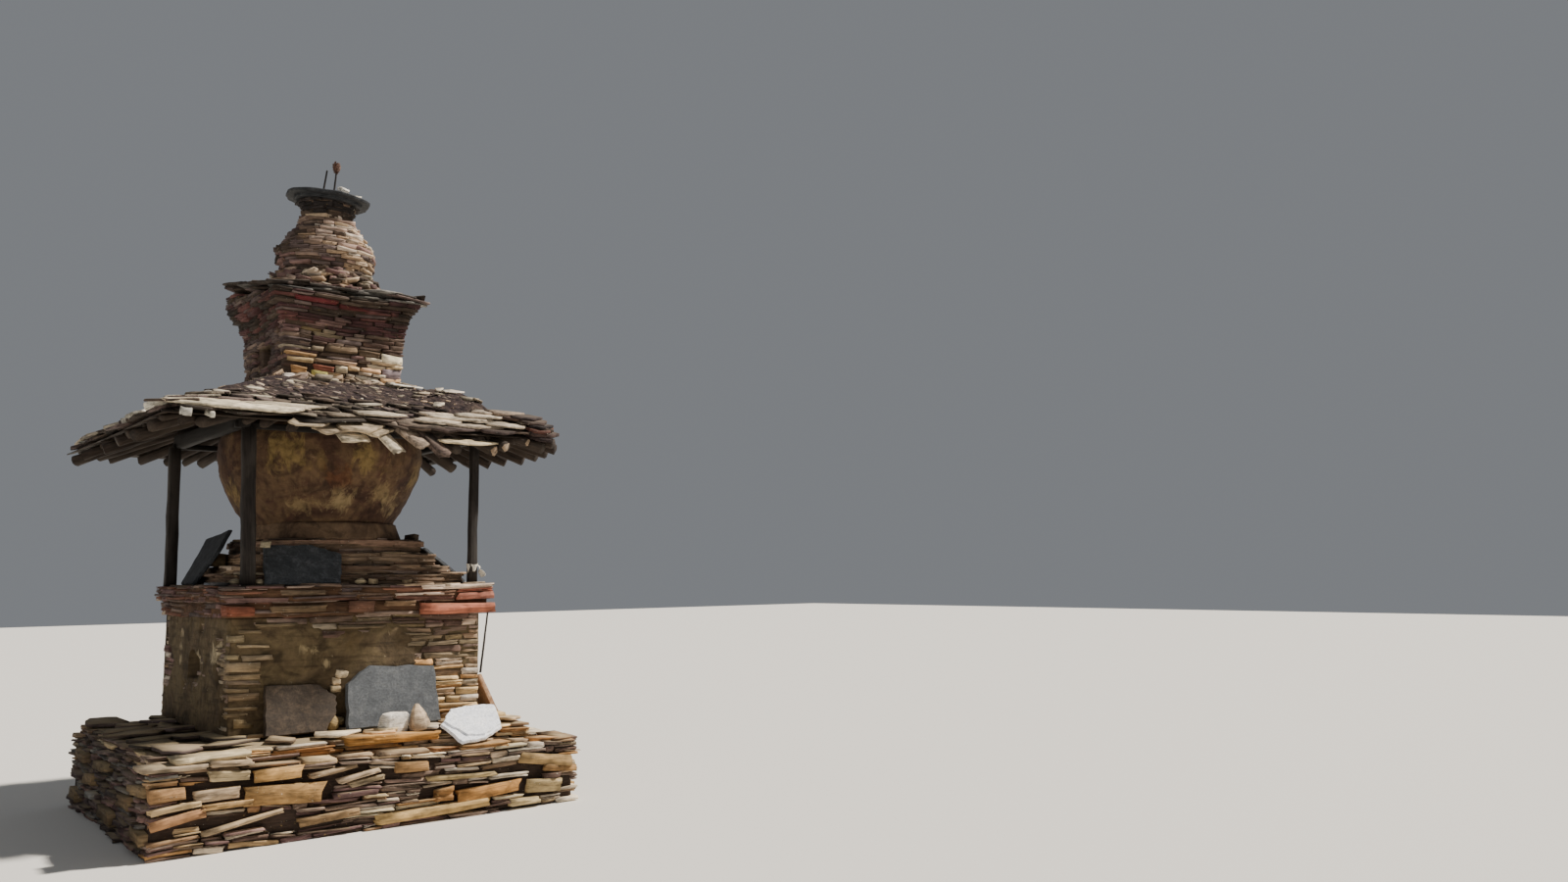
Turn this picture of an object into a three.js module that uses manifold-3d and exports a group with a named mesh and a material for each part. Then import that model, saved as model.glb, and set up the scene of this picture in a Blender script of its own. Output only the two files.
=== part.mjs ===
// Dry-stone stupa on a ledge, with a bell-shaped plastered dome under a
// slate roof on four timber posts, a corbelled square head and a round spire.
// Millimetres, +Z up. The origin is on the ground, below the middle of the base.
// -Y is the broad front with the stone ledge, -X the side on its left.

import * as THREE from 'three';
import { mergeVertices } from 'three/addons/utils/BufferGeometryUtils.js';
import Module from 'manifold-3d';

// Driving dimensions

const GAP = 0.3;

const PLINTH = { left: -1540, right: 1490, front: -1550, back: 1050, top: 545, rightTop: 482 };
// How far the large stones of the plinth stand out of its outline, how far the
// small stones between them lie behind it, and how deep a stone reaches in.
const RELIEF = { proud: 12, behind: 18, depth: 150 };
// Large stones on each side, seen from outside: distance from the left end,
// foot, length, height and tip in degrees.
const PLINTH_STONES = {
  front: [
    [0, 352, 215, 88, 2], [15, 205, 330, 62, 9], [255, 330, 290, 78, 3], [340, 450, 265, 72, 1],
    [615, 430, 340, 88, 2], [555, 262, 560, 142, -2], [1160, 385, 300, 60, 8], [1560, 395, 250, 82, 0],
    [1780, 305, 560, 34, -2], [2020, 140, 540, 95, 2], [1860, 150, 140, 110, 0], [1430, 50, 880, 80, 3],
    [2580, 110, 300, 110, -4], [2520, 330, 470, 95, -8], [900, 110, 420, 60, 4], [2440, 30, 260, 60, 0],
  ],
  right: [
    [100, 60, 420, 90, 1], [700, 200, 360, 80, -3], [1300, 80, 500, 100, 2], [1950, 260, 400, 70, -2],
    [300, 360, 460, 70, 3], [1050, 400, 380, 60, -2], [1600, 380, 340, 80, 1], [2150, 80, 360, 90, 0],
  ],
  back: [
    [150, 100, 500, 90, 2], [850, 300, 420, 80, -2], [1500, 80, 600, 100, 1], [2200, 280, 460, 80, 3],
    [2600, 100, 340, 90, 0], [350, 360, 400, 70, 1], [1250, 400, 440, 60, -3], [1850, 200, 360, 70, 2],
  ],
  left: [
    [80, 80, 400, 80, 0], [600, 260, 440, 80, 3], [1150, 70, 480, 90, -2], [1750, 240, 400, 90, 2],
    [2200, 100, 340, 80, -3], [250, 400, 380, 70, -2], [1000, 400, 420, 60, 2], [2100, 360, 400, 70, 3],
  ],
};
const LEDGE = { left: -1500, right: 1160, front: -1380, back: 1000, top: 630 };
const BASE = { half: 941, top: 1456, taper: 12 };
const CORNICE = { left: -1010, right: 1035, front: -1000, back: 968, split: 1570, top: 1683, step: 30 };
const STEPS = [
  { name: 'lower_step', half: 835, top: 1765 },
  { name: 'second_step', half: 757, top: 1833 },
  { name: 'third_step', half: 672, top: 1930 },
  { name: 'upper_step', half: 582, top: 2035 },
];
const DOME_FOOT = { radius: 602, top: 2165 };
const DOME_TOP = 3020;
const DOME = { x: -28, y: 24, foot: 555 };
const DOME_PROFILE = [
  [DOME.foot, 2165], [618, 2262], [662, 2335], [712, 2447], [762, 2558], [786, 2693],
  [782, 2790], [750, 2880], [680, 2950], [580, 3000], [500, DOME_TOP],
];

const POST = { top: 2810 };
const POSTS = {
  front_left: { x: -855, y: -880, size: 78 },
  front_right: { x: 885, y: -880, size: 58 },
  back_left: { x: -935, y: 903, size: 74 },
  back_right: { x: 885, y: 900, size: 70 },
};
const BEAM = { front: -880, back: 900, left: -900, right: 885, half: 40, reach: 945, lap: 2842 };

const HEAD = { left: -512, right: 415, front: -479, back: 545, top: 3690 };
// How far each corbel course stands out at the left and back, and at the
// right and front.
const CORBELS = [
  { name: 'corbel_lower', left: 50, right: 30, top: 3820 },
  { name: 'corbel_middle', left: 70, right: 55, top: 3900 },
  { name: 'corbel_upper', left: 100, right: 98, top: 3965 },
];
// The cap's top rises from its front left corner by these slopes.
const CAP = {
  corners: [[-600, -570], [595, -660], [595, 700], [-672, 705]],
  low: 4020, slopeX: -0.0065, slopeY: 0.1355,
};
const RUBBLE = { radius: 500, top: 4240, topRadius: 372 };

const ROOF = {
  innerZ: 3180, eaveZ: 2790,
  front: 1540, left: 1565, right: 1250, back: 1590,
  deck: 22,
};
const POLE = { radius: 40, drop: 32 };
const SLATE = { thickness: 60, right: 118, eave: 1.055 };

const SPIRE = { x: -46, y: 39, top: 4855 };
const SPIRE_PROFILE = [
  [342, 4240], [366, 4300], [396, 4390], [392, 4430], [350, 4494], [286, 4579],
  [248, 4640], [230, 4697], [200, 4775], [205, 4800], [205, SPIRE.top],
];
// How far each course of the drum stands out, from the bottom.
const SPIRE_COURSES = [5, -9, 8, -5, 10, -7, 6, -8, 9, -6, 7, -8, 6, -5, 4];
const DISC = { radius: 330, thickness: 56, tilt: 4.2 };
// The disc slopes down towards this compass direction in plan.
const TILT_X = 0.766;
const TILT_Y = -0.643;

// Colours

const COLOUR = {
  ledgeStone: '#a08a6a',
  plaster: '#8f7747',
  wallStone: '#7d6a4c',
  redStone: '#7a4632',
  step: '#75674f',
  dome: '#94783f',
  slate: '#6f7178',
  paleSlate: '#a9a498',
  wood: '#3a322b',
  plank: '#5a5046',
  earth: '#4c3d30',
  head: '#86704f',
  white: '#cfc8ba',
  cloth: '#d8d2c6',
  darkCloth: '#5c463a',
};

const MATERIALS = {};
const ROUGHNESS = { wood: 0.85, cloth: 0.95 };

function material(colour, roughness = 0.92) {
  const key = `${colour}-${roughness}`;
  if (!MATERIALS[key]) {
    MATERIALS[key] = () => new THREE.MeshStandardMaterial({
      color: new THREE.Color(colour), roughness, metalness: 0,
    });
  }
  return MATERIALS[key]();
}

const stupa = new THREE.Group();
stupa.name = 'stupa';

function add(name, geometry, colour, roughness) {
  const mesh = new THREE.Mesh(geometry, material(colour, roughness));
  mesh.name = name;
  stupa.add(mesh);
}

// Solids

const wasm = await Module();
wasm.setup();

function toSolid(geometry) {
  const bare = geometry.clone();
  bare.deleteAttribute('normal');
  bare.deleteAttribute('uv');
  const merged = mergeVertices(bare, 1e-3);
  return new wasm.Manifold(new wasm.Mesh({
    numProp: 3,
    vertProperties: new Float32Array(merged.attributes.position.array),
    triVerts: new Uint32Array(merged.index.array),
  }));
}

function toGeometry(solid) {
  const mesh = solid.getMesh();
  const geometry = new THREE.BufferGeometry();
  geometry.setAttribute('position', new THREE.BufferAttribute(new Float32Array(mesh.vertProperties), 3));
  geometry.setIndex(new THREE.BufferAttribute(new Uint32Array(mesh.triVerts), 1));
  geometry.computeVertexNormals();
  return geometry;
}

function join(parts) {
  let whole = toSolid(parts[0]);
  for (const part of parts.slice(1)) {
    whole = whole.add(toSolid(part));
  }
  return toGeometry(whole);
}

// The part of a body that lies inside another.
function keepInside(body, region) {
  return toGeometry(toSolid(body).intersect(toSolid(region)));
}

function cut(body, tools) {
  let whole = toSolid(body);
  for (const tool of tools) {
    whole = whole.subtract(toSolid(tool));
  }
  return toGeometry(whole);
}

function box(x0, x1, y0, y1, z0, z1) {
  const geometry = new THREE.BoxGeometry(x1 - x0, y1 - y0, z1 - z0);
  geometry.translate((x0 + x1) / 2, (y0 + y1) / 2, (z0 + z1) / 2);
  return geometry;
}

function square(x, y, half, z0, z1) {
  return box(x - half, x + half, y - half, y + half, z0, z1);
}

// Moves every vertex of a geometry with a rule that gets and returns a point.
function shape(geometry, rule) {
  const position = geometry.attributes.position;
  const point = new THREE.Vector3();
  for (let i = 0; i < position.count; i += 1) {
    point.fromBufferAttribute(position, i);
    rule(point);
    position.setXYZ(i, point.x, point.y, point.z);
  }
  geometry.computeVertexNormals();
  return geometry;
}

function lathe(profile, segments, x, y) {
  const points = profile.map(([radius, z]) => new THREE.Vector2(radius, z));
  const geometry = new THREE.LatheGeometry(points, segments);
  geometry.rotateX(Math.PI / 2);
  geometry.translate(x, y, 0);
  return geometry;
}

function outline(points) {
  return new THREE.Shape(points.map(([u, v]) => new THREE.Vector2(u, v)));
}

// A flat plate with the given outline in plan.
function plate(points, z0, z1) {
  const geometry = new THREE.ExtrudeGeometry(outline(points), { depth: z1 - z0, bevelEnabled: false });
  geometry.translate(0, 0, z0);
  return geometry;
}

// A round bar between two points.
function bar(from, to, radius, segments = 8) {
  const a = new THREE.Vector3(...from);
  const b = new THREE.Vector3(...to);
  const geometry = new THREE.CylinderGeometry(radius, radius, a.distanceTo(b), segments);
  const turn = new THREE.Quaternion().setFromUnitVectors(
    new THREE.Vector3(0, 1, 0), b.clone().sub(a).normalize());
  geometry.applyQuaternion(turn);
  geometry.translate((a.x + b.x) / 2, (a.y + b.y) / 2, (a.z + b.z) / 2);
  return geometry;
}

// A slab that stands on a floor and leans back on an edge. Distances are
// measured outwards from the axis; the outline runs along the wall and up.
function leaning({ points, thickness, foot, floor, edge, edgeZ, along, side }) {
  const geometry = new THREE.ExtrudeGeometry(outline(points), { depth: thickness, bevelEnabled: false });
  geometry.rotateX(Math.PI / 2);
  geometry.rotateX(-Math.atan2(foot - edge, edgeZ - floor));
  geometry.translate(0, -GAP, 0);
  const turns = { front: 0, left: -Math.PI / 2, right: Math.PI / 2, back: Math.PI };
  geometry.translate(along, -foot, floor + GAP);
  geometry.rotateZ(turns[side]);
  return geometry;
}

// Plinth and base

// The plinth's top falls towards the right.
function plinthTop(x) {
  return PLINTH.top + (x - PLINTH.left) / (PLINTH.right - PLINTH.left) * (PLINTH.rightTop - PLINTH.top);
}

function onPlinth(geometry, cutoff) {
  return shape(geometry, (p) => {
    if (p.z < cutoff) p.z = plinthTop(p.x) + GAP;
  });
}

const PLINTH_CORNERS = {
  front: [PLINTH.left, PLINTH.front, 0],
  right: [PLINTH.right, PLINTH.front, Math.PI / 2],
  back: [PLINTH.right, PLINTH.back, Math.PI],
  left: [PLINTH.left, PLINTH.back, -Math.PI / 2],
};

function plinthStone(side, [along, foot, length, height, tip]) {
  const geometry = new THREE.BoxGeometry(length, RELIEF.depth, height);
  geometry.rotateY(-tip * Math.PI / 180);
  geometry.translate(along + length / 2, RELIEF.depth / 2 - RELIEF.proud, foot + height / 2);
  const [x, y, turn] = PLINTH_CORNERS[side];
  geometry.rotateZ(turn);
  geometry.translate(x, y, 0);
  return geometry;
}

const plinthStones = Object.entries(PLINTH_STONES).flatMap(
  ([side, stones]) => stones.map((stone) => plinthStone(side, stone)));
const plinthBody = box(PLINTH.left + RELIEF.behind, PLINTH.right - RELIEF.behind,
  PLINTH.front + RELIEF.behind, PLINTH.back - RELIEF.behind, 0, PLINTH.top);
// The courses close up towards the right, where the top is lower.
add('plinth', shape(join([plinthBody, ...plinthStones]), (p) => {
  p.z *= plinthTop(p.x) / PLINTH.top;
}), COLOUR.ledgeStone);
add('ledge_course', onPlinth(box(LEDGE.left, LEDGE.right, LEDGE.front, LEDGE.back, 500, LEDGE.top), 600),
  COLOUR.ledgeStone);
add('ledge_flag', onPlinth(plate([[-1590, -1560], [-830, -1570], [-800, -1400], [-1560, -1390]],
  500, 606), 600), COLOUR.paleSlate);

const NICHE = { width: 180, low: 1000, spring: 1110, depth: 160 };

function nicheTool(faceX, y, low, spring, width, depth) {
  const arch = new THREE.Shape();
  arch.moveTo(y - width / 2, low);
  arch.lineTo(y + width / 2, low);
  arch.lineTo(y + width / 2, spring);
  arch.absarc(y, spring, width / 2, 0, Math.PI, false);
  arch.lineTo(y - width / 2, low);
  const geometry = new THREE.ExtrudeGeometry(arch, {
    depth: depth + 50, bevelEnabled: false, curveSegments: 8,
  });
  // Outline (y, z) with depth along x.
  return shape(geometry, (p) => p.set(faceX - 50 + p.z, p.x, p.y));
}

const baseBlock = shape(square(0, 0, BASE.half, LEDGE.top + GAP, BASE.top), (p) => {
  const high = p.z > 1000 ? 1 : 0;
  p.x -= Math.sign(p.x) * BASE.taper * high;
  p.y -= Math.sign(p.y) * BASE.taper * high;
});
add('base_wall', cut(baseBlock, [
  nicheTool(-BASE.half, 10, NICHE.low, NICHE.spring, NICHE.width, NICHE.depth),
]), COLOUR.plaster);

add('cornice_lower', box(CORNICE.left + CORNICE.step, CORNICE.right - CORNICE.step,
  CORNICE.front + CORNICE.step, CORNICE.back - 10, BASE.top + GAP, CORNICE.split), COLOUR.wallStone);
add('cornice_upper', box(CORNICE.left, CORNICE.right, CORNICE.front, CORNICE.back,
  CORNICE.split + GAP, CORNICE.top), COLOUR.redStone);

let below = CORNICE.top;
for (const step of STEPS) {
  add(step.name, square(0, 0, step.half, below + GAP, step.top), COLOUR.step);
  below = step.top;
}

// Dome

add('dome_foot', lathe([[0, below + GAP], [DOME_FOOT.radius, below + GAP],
  [DOME_FOOT.radius - 6, DOME_FOOT.top], [0, DOME_FOOT.top]], 48, 0, 0), COLOUR.dome);
add('dome', lathe([[0, DOME_FOOT.top + GAP], [DOME.foot, DOME_FOOT.top + GAP],
  ...DOME_PROFILE.slice(1), [0, DOME_TOP]], 56, DOME.x, DOME.y), COLOUR.dome);

// Posts and beams

for (const [name, { x, y, size }] of Object.entries(POSTS)) {
  add(`post_${name}`, square(x, y, size / 2, CORNICE.top + GAP, POST.top), COLOUR.wood,
    ROUGHNESS.wood);
}

// Roof. A point on one side is given by t, 0 at the head and 1 at the eave,
// by w, 0 at the left hip and 1 at the right hip, and by its rise above the
// underside of the deck.

const CORNER = {
  frontLeft: { inner: [HEAD.left - GAP, HEAD.front - GAP], eave: [-ROOF.left, -ROOF.front] },
  frontRight: { inner: [HEAD.right + GAP, HEAD.front - GAP], eave: [ROOF.right, -ROOF.front] },
  backRight: { inner: [HEAD.right + GAP, HEAD.back + GAP], eave: [ROOF.right, ROOF.back] },
  backLeft: { inner: [HEAD.left - GAP, HEAD.back + GAP], eave: [-ROOF.left, ROOF.back] },
};
const SIDES = {
  front: ['frontLeft', 'frontRight'],
  right: ['frontRight', 'backRight'],
  back: ['backRight', 'backLeft'],
  left: ['backLeft', 'frontLeft'],
};

function roofPoint(side, t, w, rise, inset = 0) {
  const [a, b] = SIDES[side].map((key) => CORNER[key]);
  const at = (corner) => [0, 1].map((i) => corner.inner[i] + t * (corner.eave[i] - corner.inner[i]));
  const [ax, ay] = at(a);
  const [bx, by] = at(b);
  const length = Math.hypot(bx - ax, by - ay);
  const s = inset / length + w * (1 - 2 * inset / length);
  return [ax + s * (bx - ax), ay + s * (by - ay),
    ROOF.innerZ + t * (ROOF.eaveZ - ROOF.innerZ) + rise];
}

// One side of the roof: a profile of (t, rise) drawn from hip to hip.
function roofSide(side, profile, inset) {
  const geometry = new THREE.ExtrudeGeometry(outline(profile.map(([t, rise]) => [t * 1000, rise])), {
    depth: 1, bevelEnabled: false,
  });
  return shape(geometry, (p) => p.set(...roofPoint(side, p.x / 1000, 1 - p.z, p.y, inset)));
}

// The height of the lowest line of the poles of one side, at a distance
// from the axis measured square to the eave.
function poleUnderside(side, distance) {
  const across = side === 'front' || side === 'back' ? 1 : 0;
  const corner = CORNER[SIDES[side][0]];
  const inner = Math.abs(corner.inner[across]);
  const eave = Math.abs(corner.eave[across]);
  const slope = (ROOF.innerZ - ROOF.eaveZ) / (eave - inner);
  return ROOF.innerZ - slope * (distance - inner) - POLE.drop - POLE.radius * Math.hypot(1, slope);
}

// The four beams meet over the posts in half-lap joints.
const beamSpans = {
  front: [-BEAM.reach, BEAM.reach, BEAM.front - BEAM.half, BEAM.front + BEAM.half],
  back: [-BEAM.reach, BEAM.reach, BEAM.back - BEAM.half, BEAM.back + BEAM.half],
  left: [BEAM.left - BEAM.half, BEAM.left + BEAM.half, -BEAM.reach, BEAM.reach],
  right: [BEAM.right - BEAM.half, BEAM.right + BEAM.half, -BEAM.reach, BEAM.reach],
};
for (const [side, span] of Object.entries(beamSpans)) {
  const outer = Math.abs(BEAM[side]) + BEAM.half;
  const crossing = side === 'front' || side === 'back' ? ['left', 'right'] : ['front', 'back'];
  const top = Math.min(poleUnderside(side, outer), ...crossing.map((key) => poleUnderside(key, BEAM.reach)));
  const notches = crossing.map((key) => {
    const [x0, x1, y0, y1] = beamSpans[key];
    const low = crossing[0] === 'left' ? BEAM.lap - GAP / 2 : POST.top - 50;
    const high = crossing[0] === 'left' ? top + 50 : BEAM.lap + GAP / 2;
    return box(x0 - GAP, x1 + GAP, y0 - GAP, y1 + GAP, low, high);
  });
  add(`beam_${side}`, cut(box(...span, POST.top + GAP, top - GAP), notches), COLOUR.wood, ROUGHNESS.wood);
}

const POLES = { front: 11, back: 11, left: 11, right: 11 };
for (const side of Object.keys(SIDES)) {
  const parts = [roofSide(side, [[0, 0], [1, 0], [1, ROOF.deck], [0, ROOF.deck]], GAP / 2)];
  const count = POLES[side];
  for (let i = 0; i < count; i += 1) {
    const w = 0.045 + 0.91 * (i / (count - 1));
    const outer = roofPoint(side, 1.005 + 0.012 * ((i * 7) % 3), w, 0);
    // The poles lie square to the eave; outer ones stop at the hips.
    const across = side === 'front' || side === 'back' ? 0 : 1;
    const [a, b] = SIDES[side].map((key) => CORNER[key]);
    const low = Math.min(a.inner[across], b.inner[across]);
    const high = Math.max(a.inner[across], b.inner[across]);
    const place = outer[across];
    let t = 0.03;
    if (place < low || place > high) {
      const corner = (Math.abs(place - a.inner[across]) < Math.abs(place - b.inner[across])) ? a : b;
      t = (place - corner.inner[across]) / (corner.eave[across] - corner.inner[across]) + 0.11;
    }
    if (t > 0.9) continue;
    const start = roofPoint(side, t, 0.5, 0);
    start[across] = place;
    parts.push(bar([start[0], start[1], start[2] - POLE.drop], [outer[0], outer[1], outer[2] - POLE.drop],
      POLE.radius));
  }
  const region = roofSide(side, [[0, -500], [1.2, -500], [1.2, 200], [0, 200]], GAP / 2);
  add(`rafters_${side}`, keepInside(join(parts), region), COLOUR.plank, ROUGHNESS.wood);
}

const SLATE_FOOT = ROOF.deck + GAP;
for (const side of Object.keys(SIDES)) {
  const thick = side === 'right' ? SLATE.right : SLATE.thickness;
  const profile = [
    [0, SLATE_FOOT], [SLATE.eave, SLATE_FOOT], [SLATE.eave, SLATE_FOOT + thick],
    [0.86, SLATE_FOOT + thick - 24], [0.86, SLATE_FOOT + thick - 4],
    [0.68, SLATE_FOOT + SLATE.thickness - 24], [0.68, SLATE_FOOT + SLATE.thickness],
    [0, SLATE_FOOT + SLATE.thickness],
  ];
  add(`slates_${side}`, roofSide(side, profile, GAP / 2), COLOUR.paleSlate);
}

const EARTH_FOOT = SLATE_FOOT + SLATE.thickness + GAP;
const EARTH = [[0.003, EARTH_FOOT], [0.58, EARTH_FOOT], [0.58, EARTH_FOOT + 14],
  [0.4, EARTH_FOOT + 46], [0.15, EARTH_FOOT + 82], [0.003, EARTH_FOOT + 92]];
add('roof_earth', join(Object.keys(SIDES).map((side) => roofSide(side, EARTH, -1))), COLOUR.earth);

// Square head with its corbels and cap

const headBlock = box(HEAD.left, HEAD.right, HEAD.front, HEAD.back, DOME_TOP + GAP, HEAD.top);
add('head_wall', cut(headBlock, [
  box(HEAD.left - 50, HEAD.left + 150, -95, 90, 3425, 3585),
]), COLOUR.head);

below = HEAD.top;
for (const { name, left, right, top } of CORBELS) {
  add(name, box(HEAD.left - left, HEAD.right + right, HEAD.front - right, HEAD.back + left, below + GAP, top),
    name === 'corbel_middle' ? COLOUR.redStone : COLOUR.wallStone);
  below = top;
}

function capTop(x, y) {
  const [x0, y0] = CAP.corners[0];
  return CAP.low + (x - x0) * CAP.slopeX + (y - y0) * CAP.slopeY;
}

add('cap_slab', shape(plate(CAP.corners, below + GAP, CAP.low), (p) => {
  if (p.z > below + 20) p.z = capTop(p.x, p.y);
}), COLOUR.slate);
const mound = new THREE.CylinderGeometry(RUBBLE.topRadius, RUBBLE.radius, 100, 14);
mound.rotateX(Math.PI / 2);
mound.translate(SPIRE.x, SPIRE.y, RUBBLE.top - 50);
add('cap_rubble', shape(mound, (p) => {
  if (p.z < RUBBLE.top - 50) p.z = capTop(p.x, p.y) + GAP;
}), COLOUR.wallStone);

// Spire

const SLOPE = Math.tan(DISC.tilt * Math.PI / 180);

function tilt(p) {
  p.z -= SLOPE * ((p.x - SPIRE.x) * TILT_X + (p.y - SPIRE.y) * TILT_Y);
}

// The radius of the drum at a height, from its profile.
function drumRadius(z) {
  const next = Math.max(1, SPIRE_PROFILE.findIndex(([, height]) => height >= z));
  const [[r0, z0], [r1, z1]] = [SPIRE_PROFILE[next - 1], SPIRE_PROFILE[next]];
  return r0 + (r1 - r0) * (z - z0) / (z1 - z0);
}

// Each course of the drum stands a little out of, or back from, the next.
const courseHeight = (SPIRE.top - RUBBLE.top) / SPIRE_COURSES.length;
const drumProfile = SPIRE_COURSES.flatMap((out, i) => {
  const foot = RUBBLE.top + (i === 0 ? GAP : i * courseHeight);
  const radius = drumRadius(foot + courseHeight / 2) + out;
  return [[radius, foot], [radius, RUBBLE.top + (i + 1) * courseHeight]];
});
const drum = lathe([[0, RUBBLE.top + GAP], ...drumProfile, [0, SPIRE.top]], 40, SPIRE.x, SPIRE.y);
add('spire_drum', shape(drum, (p) => {
  if (p.z > SPIRE.top - 1) tilt(p);
}), COLOUR.wallStone);

const DISC_RIM = [1, 0.96, 1.02, 0.98, 1.04, 1, 0.94, 1.01, 0.99, 1.03, 0.95, 1, 1.03, 0.97];
const rim = DISC_RIM.map((scale, i) => {
  const angle = (i / DISC_RIM.length) * Math.PI * 2;
  return [SPIRE.x + Math.cos(angle) * DISC.radius * scale, SPIRE.y + Math.sin(angle) * DISC.radius * scale];
});
const DISC_TOP = SPIRE.top + GAP + DISC.thickness;
add('spire_disc', shape(plate(rim, SPIRE.top + GAP, DISC_TOP), tilt), COLOUR.slate);

// Points on the disc, given by the distance along its downhill line.
function onDisc(along, rise) {
  return [SPIRE.x + along * TILT_X, SPIRE.y + along * TILT_Y, DISC_TOP - SLOPE * along + rise];
}

add('finial_stick_left', bar(onDisc(-55, 0.6), onDisc(-20, 250), 9, 8), COLOUR.wood, ROUGHNESS.wood);
add('finial_stick_right', bar(onDisc(38, 0.36), onDisc(62, 226), 9, 8), COLOUR.wood, ROUGHNESS.wood);
const wad = new THREE.SphereGeometry(1, 14, 10);
wad.scale(34, 30, 52);
wad.translate(...onDisc(62, 226 + 52 - 0.3));
add('finial_cloth', wad, COLOUR.darkCloth, ROUGHNESS.cloth);

// Slabs and stones leaning and lying on the ledge

const WALL = BASE.half;

function againstWall(points, thickness, degrees, along, side, floor) {
  const height = Math.max(...points.map(([, v]) => v));
  const lean = degrees * Math.PI / 180;
  return leaning({
    points, thickness, floor, along, side,
    foot: WALL + height * Math.sin(lean), edge: WALL, edgeZ: floor + height * Math.cos(lean),
  });
}

add('slab_large', againstWall([[0, 0], [720, 8], [704, 440], [200, 470], [20, 340]], 38, 17, -161,
  'front', LEDGE.top), COLOUR.slate);
add('slab_brown', againstWall([[0, 0], [430, 0], [505, 120], [520, 250], [400, 345], [20, 360]], 40, 16,
  -722, 'front', LEDGE.top), COLOUR.wallStone);
add('slab_corner', againstWall([[0, 0], [420, 0], [300, 200], [30, 360]], 36, 25, -925, 'right',
  LEDGE.top), COLOUR.wallStone);
add('slab_ledge', leaning({
  points: [[87, 0], [283, 50], [462, 160], [492, 412], [141, 400], [0, 240]],
  thickness: 34, foot: 1545, floor: plinthTop(500), edge: -LEDGE.front, edgeZ: LEDGE.top, along: 420,
  side: 'front',
}), COLOUR.paleSlate);
add('stone_white', plate([[10, -1325], [235, -1330], [240, -1215], [60, -1200]],
  LEDGE.top + GAP, LEDGE.top + 110), COLOUR.white);
add('stone_pointed', shape(plate([[235, -1372], [365, -1368], [350, -1255], [248, -1262]],
  LEDGE.top + GAP, LEDGE.top + 175), (p) => {
  if (p.z > LEDGE.top + 100) {
    p.x = 292 + (p.x - 300) * 0.42;
    p.y = -1290 + (p.y + 1310) * 0.4;
  }
}), COLOUR.white);

// The upper slabs stand on the cornice and lie back on the edge of the third step.
const ONTO_STEPS = { foot: 925, floor: CORNICE.top, edge: STEPS[2].half, edgeZ: STEPS[2].top };

add('slab_upper_front', leaning({
  ...ONTO_STEPS, points: [[20, 0], [565, 0], [640, 310], [440, 410], [85, 405]],
  thickness: 26, along: -740, side: 'front',
}), COLOUR.slate);
add('slab_upper_right', leaning({
  ...ONTO_STEPS, points: [[0, 0], [380, 0], [350, 400], [160, 395], [30, 120]],
  thickness: 26, along: -650, side: 'right',
}), COLOUR.slate);

// The left slab stands steeper, against a stone on the second step.
const WEDGE = { low: STEPS[1].top + GAP, high: 1940, back: STEPS[2].half + GAP, from: 200, to: 450 };
const LEFT_SLAB = { foot: 918, floor: CORNICE.top, lean: 30 };
const leanSlope = Math.tan(LEFT_SLAB.lean * Math.PI / 180);
add('slab_upper_left', leaning({
  points: [[150, 0], [500, 0], [600, 300], [535, 497], [3, 424], [70, 290]],
  thickness: 28, foot: LEFT_SLAB.foot, floor: LEFT_SLAB.floor, edge: LEFT_SLAB.foot - leanSlope * 100,
  edgeZ: LEFT_SLAB.floor + 100, along: -640, side: 'left',
}), COLOUR.slate);

function slabBack(z) {
  return LEFT_SLAB.foot - leanSlope * (z - LEFT_SLAB.floor) - GAP;
}

const wedge = plate([[WEDGE.back, WEDGE.low], [STEPS[1].half - 6, WEDGE.low], [slabBack(1900), 1900],
  [slabBack(WEDGE.high), WEDGE.high], [WEDGE.back, WEDGE.high]], WEDGE.from, WEDGE.to);
add('wedge_stone', shape(wedge, (p) => p.set(-p.x, p.z, p.y)), COLOUR.wallStone);

// A stick wedged upright between the corner slab and the cornice.
add('corner_stick', bar([962, -903, 972], [1005, -925, BASE.top - 0.85], 9, 8), COLOUR.wood, ROUGHNESS.wood);

// A strip of cloth knotted round the foot of the right post.
const knot = 16;
const clothPost = POSTS.front_right;
const tied = clothPost.size / 2 + GAP;
add('post_cloth', cut(
  square(clothPost.x, clothPost.y, tied + knot, 1768, 1836),
  [square(clothPost.x, clothPost.y, tied, 1700, 1900)]), COLOUR.cloth, ROUGHNESS.cloth);

export default stupa;
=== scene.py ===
from math import asin, atan, atan2, cos, hypot, pi, radians, sin, sqrt, tan, tau
from random import Random

import bpy
import numpy as np
from mathutils import Matrix, Vector, noise


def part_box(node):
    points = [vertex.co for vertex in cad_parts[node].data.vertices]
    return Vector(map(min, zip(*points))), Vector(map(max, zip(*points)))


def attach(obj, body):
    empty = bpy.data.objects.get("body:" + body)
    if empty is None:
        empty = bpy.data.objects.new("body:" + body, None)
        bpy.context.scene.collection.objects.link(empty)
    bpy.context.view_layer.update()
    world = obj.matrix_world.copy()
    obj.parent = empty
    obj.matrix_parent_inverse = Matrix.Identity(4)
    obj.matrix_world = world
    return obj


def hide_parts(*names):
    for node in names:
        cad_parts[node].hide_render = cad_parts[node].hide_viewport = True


# A dry-stone stupa: a stone ledge, a square base with a stepped top, a plastered
# dome under a slate roof on four posts, a corbelled head and a round spire.
# Metres, +Z up, -Y the broad front, -X the side on its left.

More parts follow.
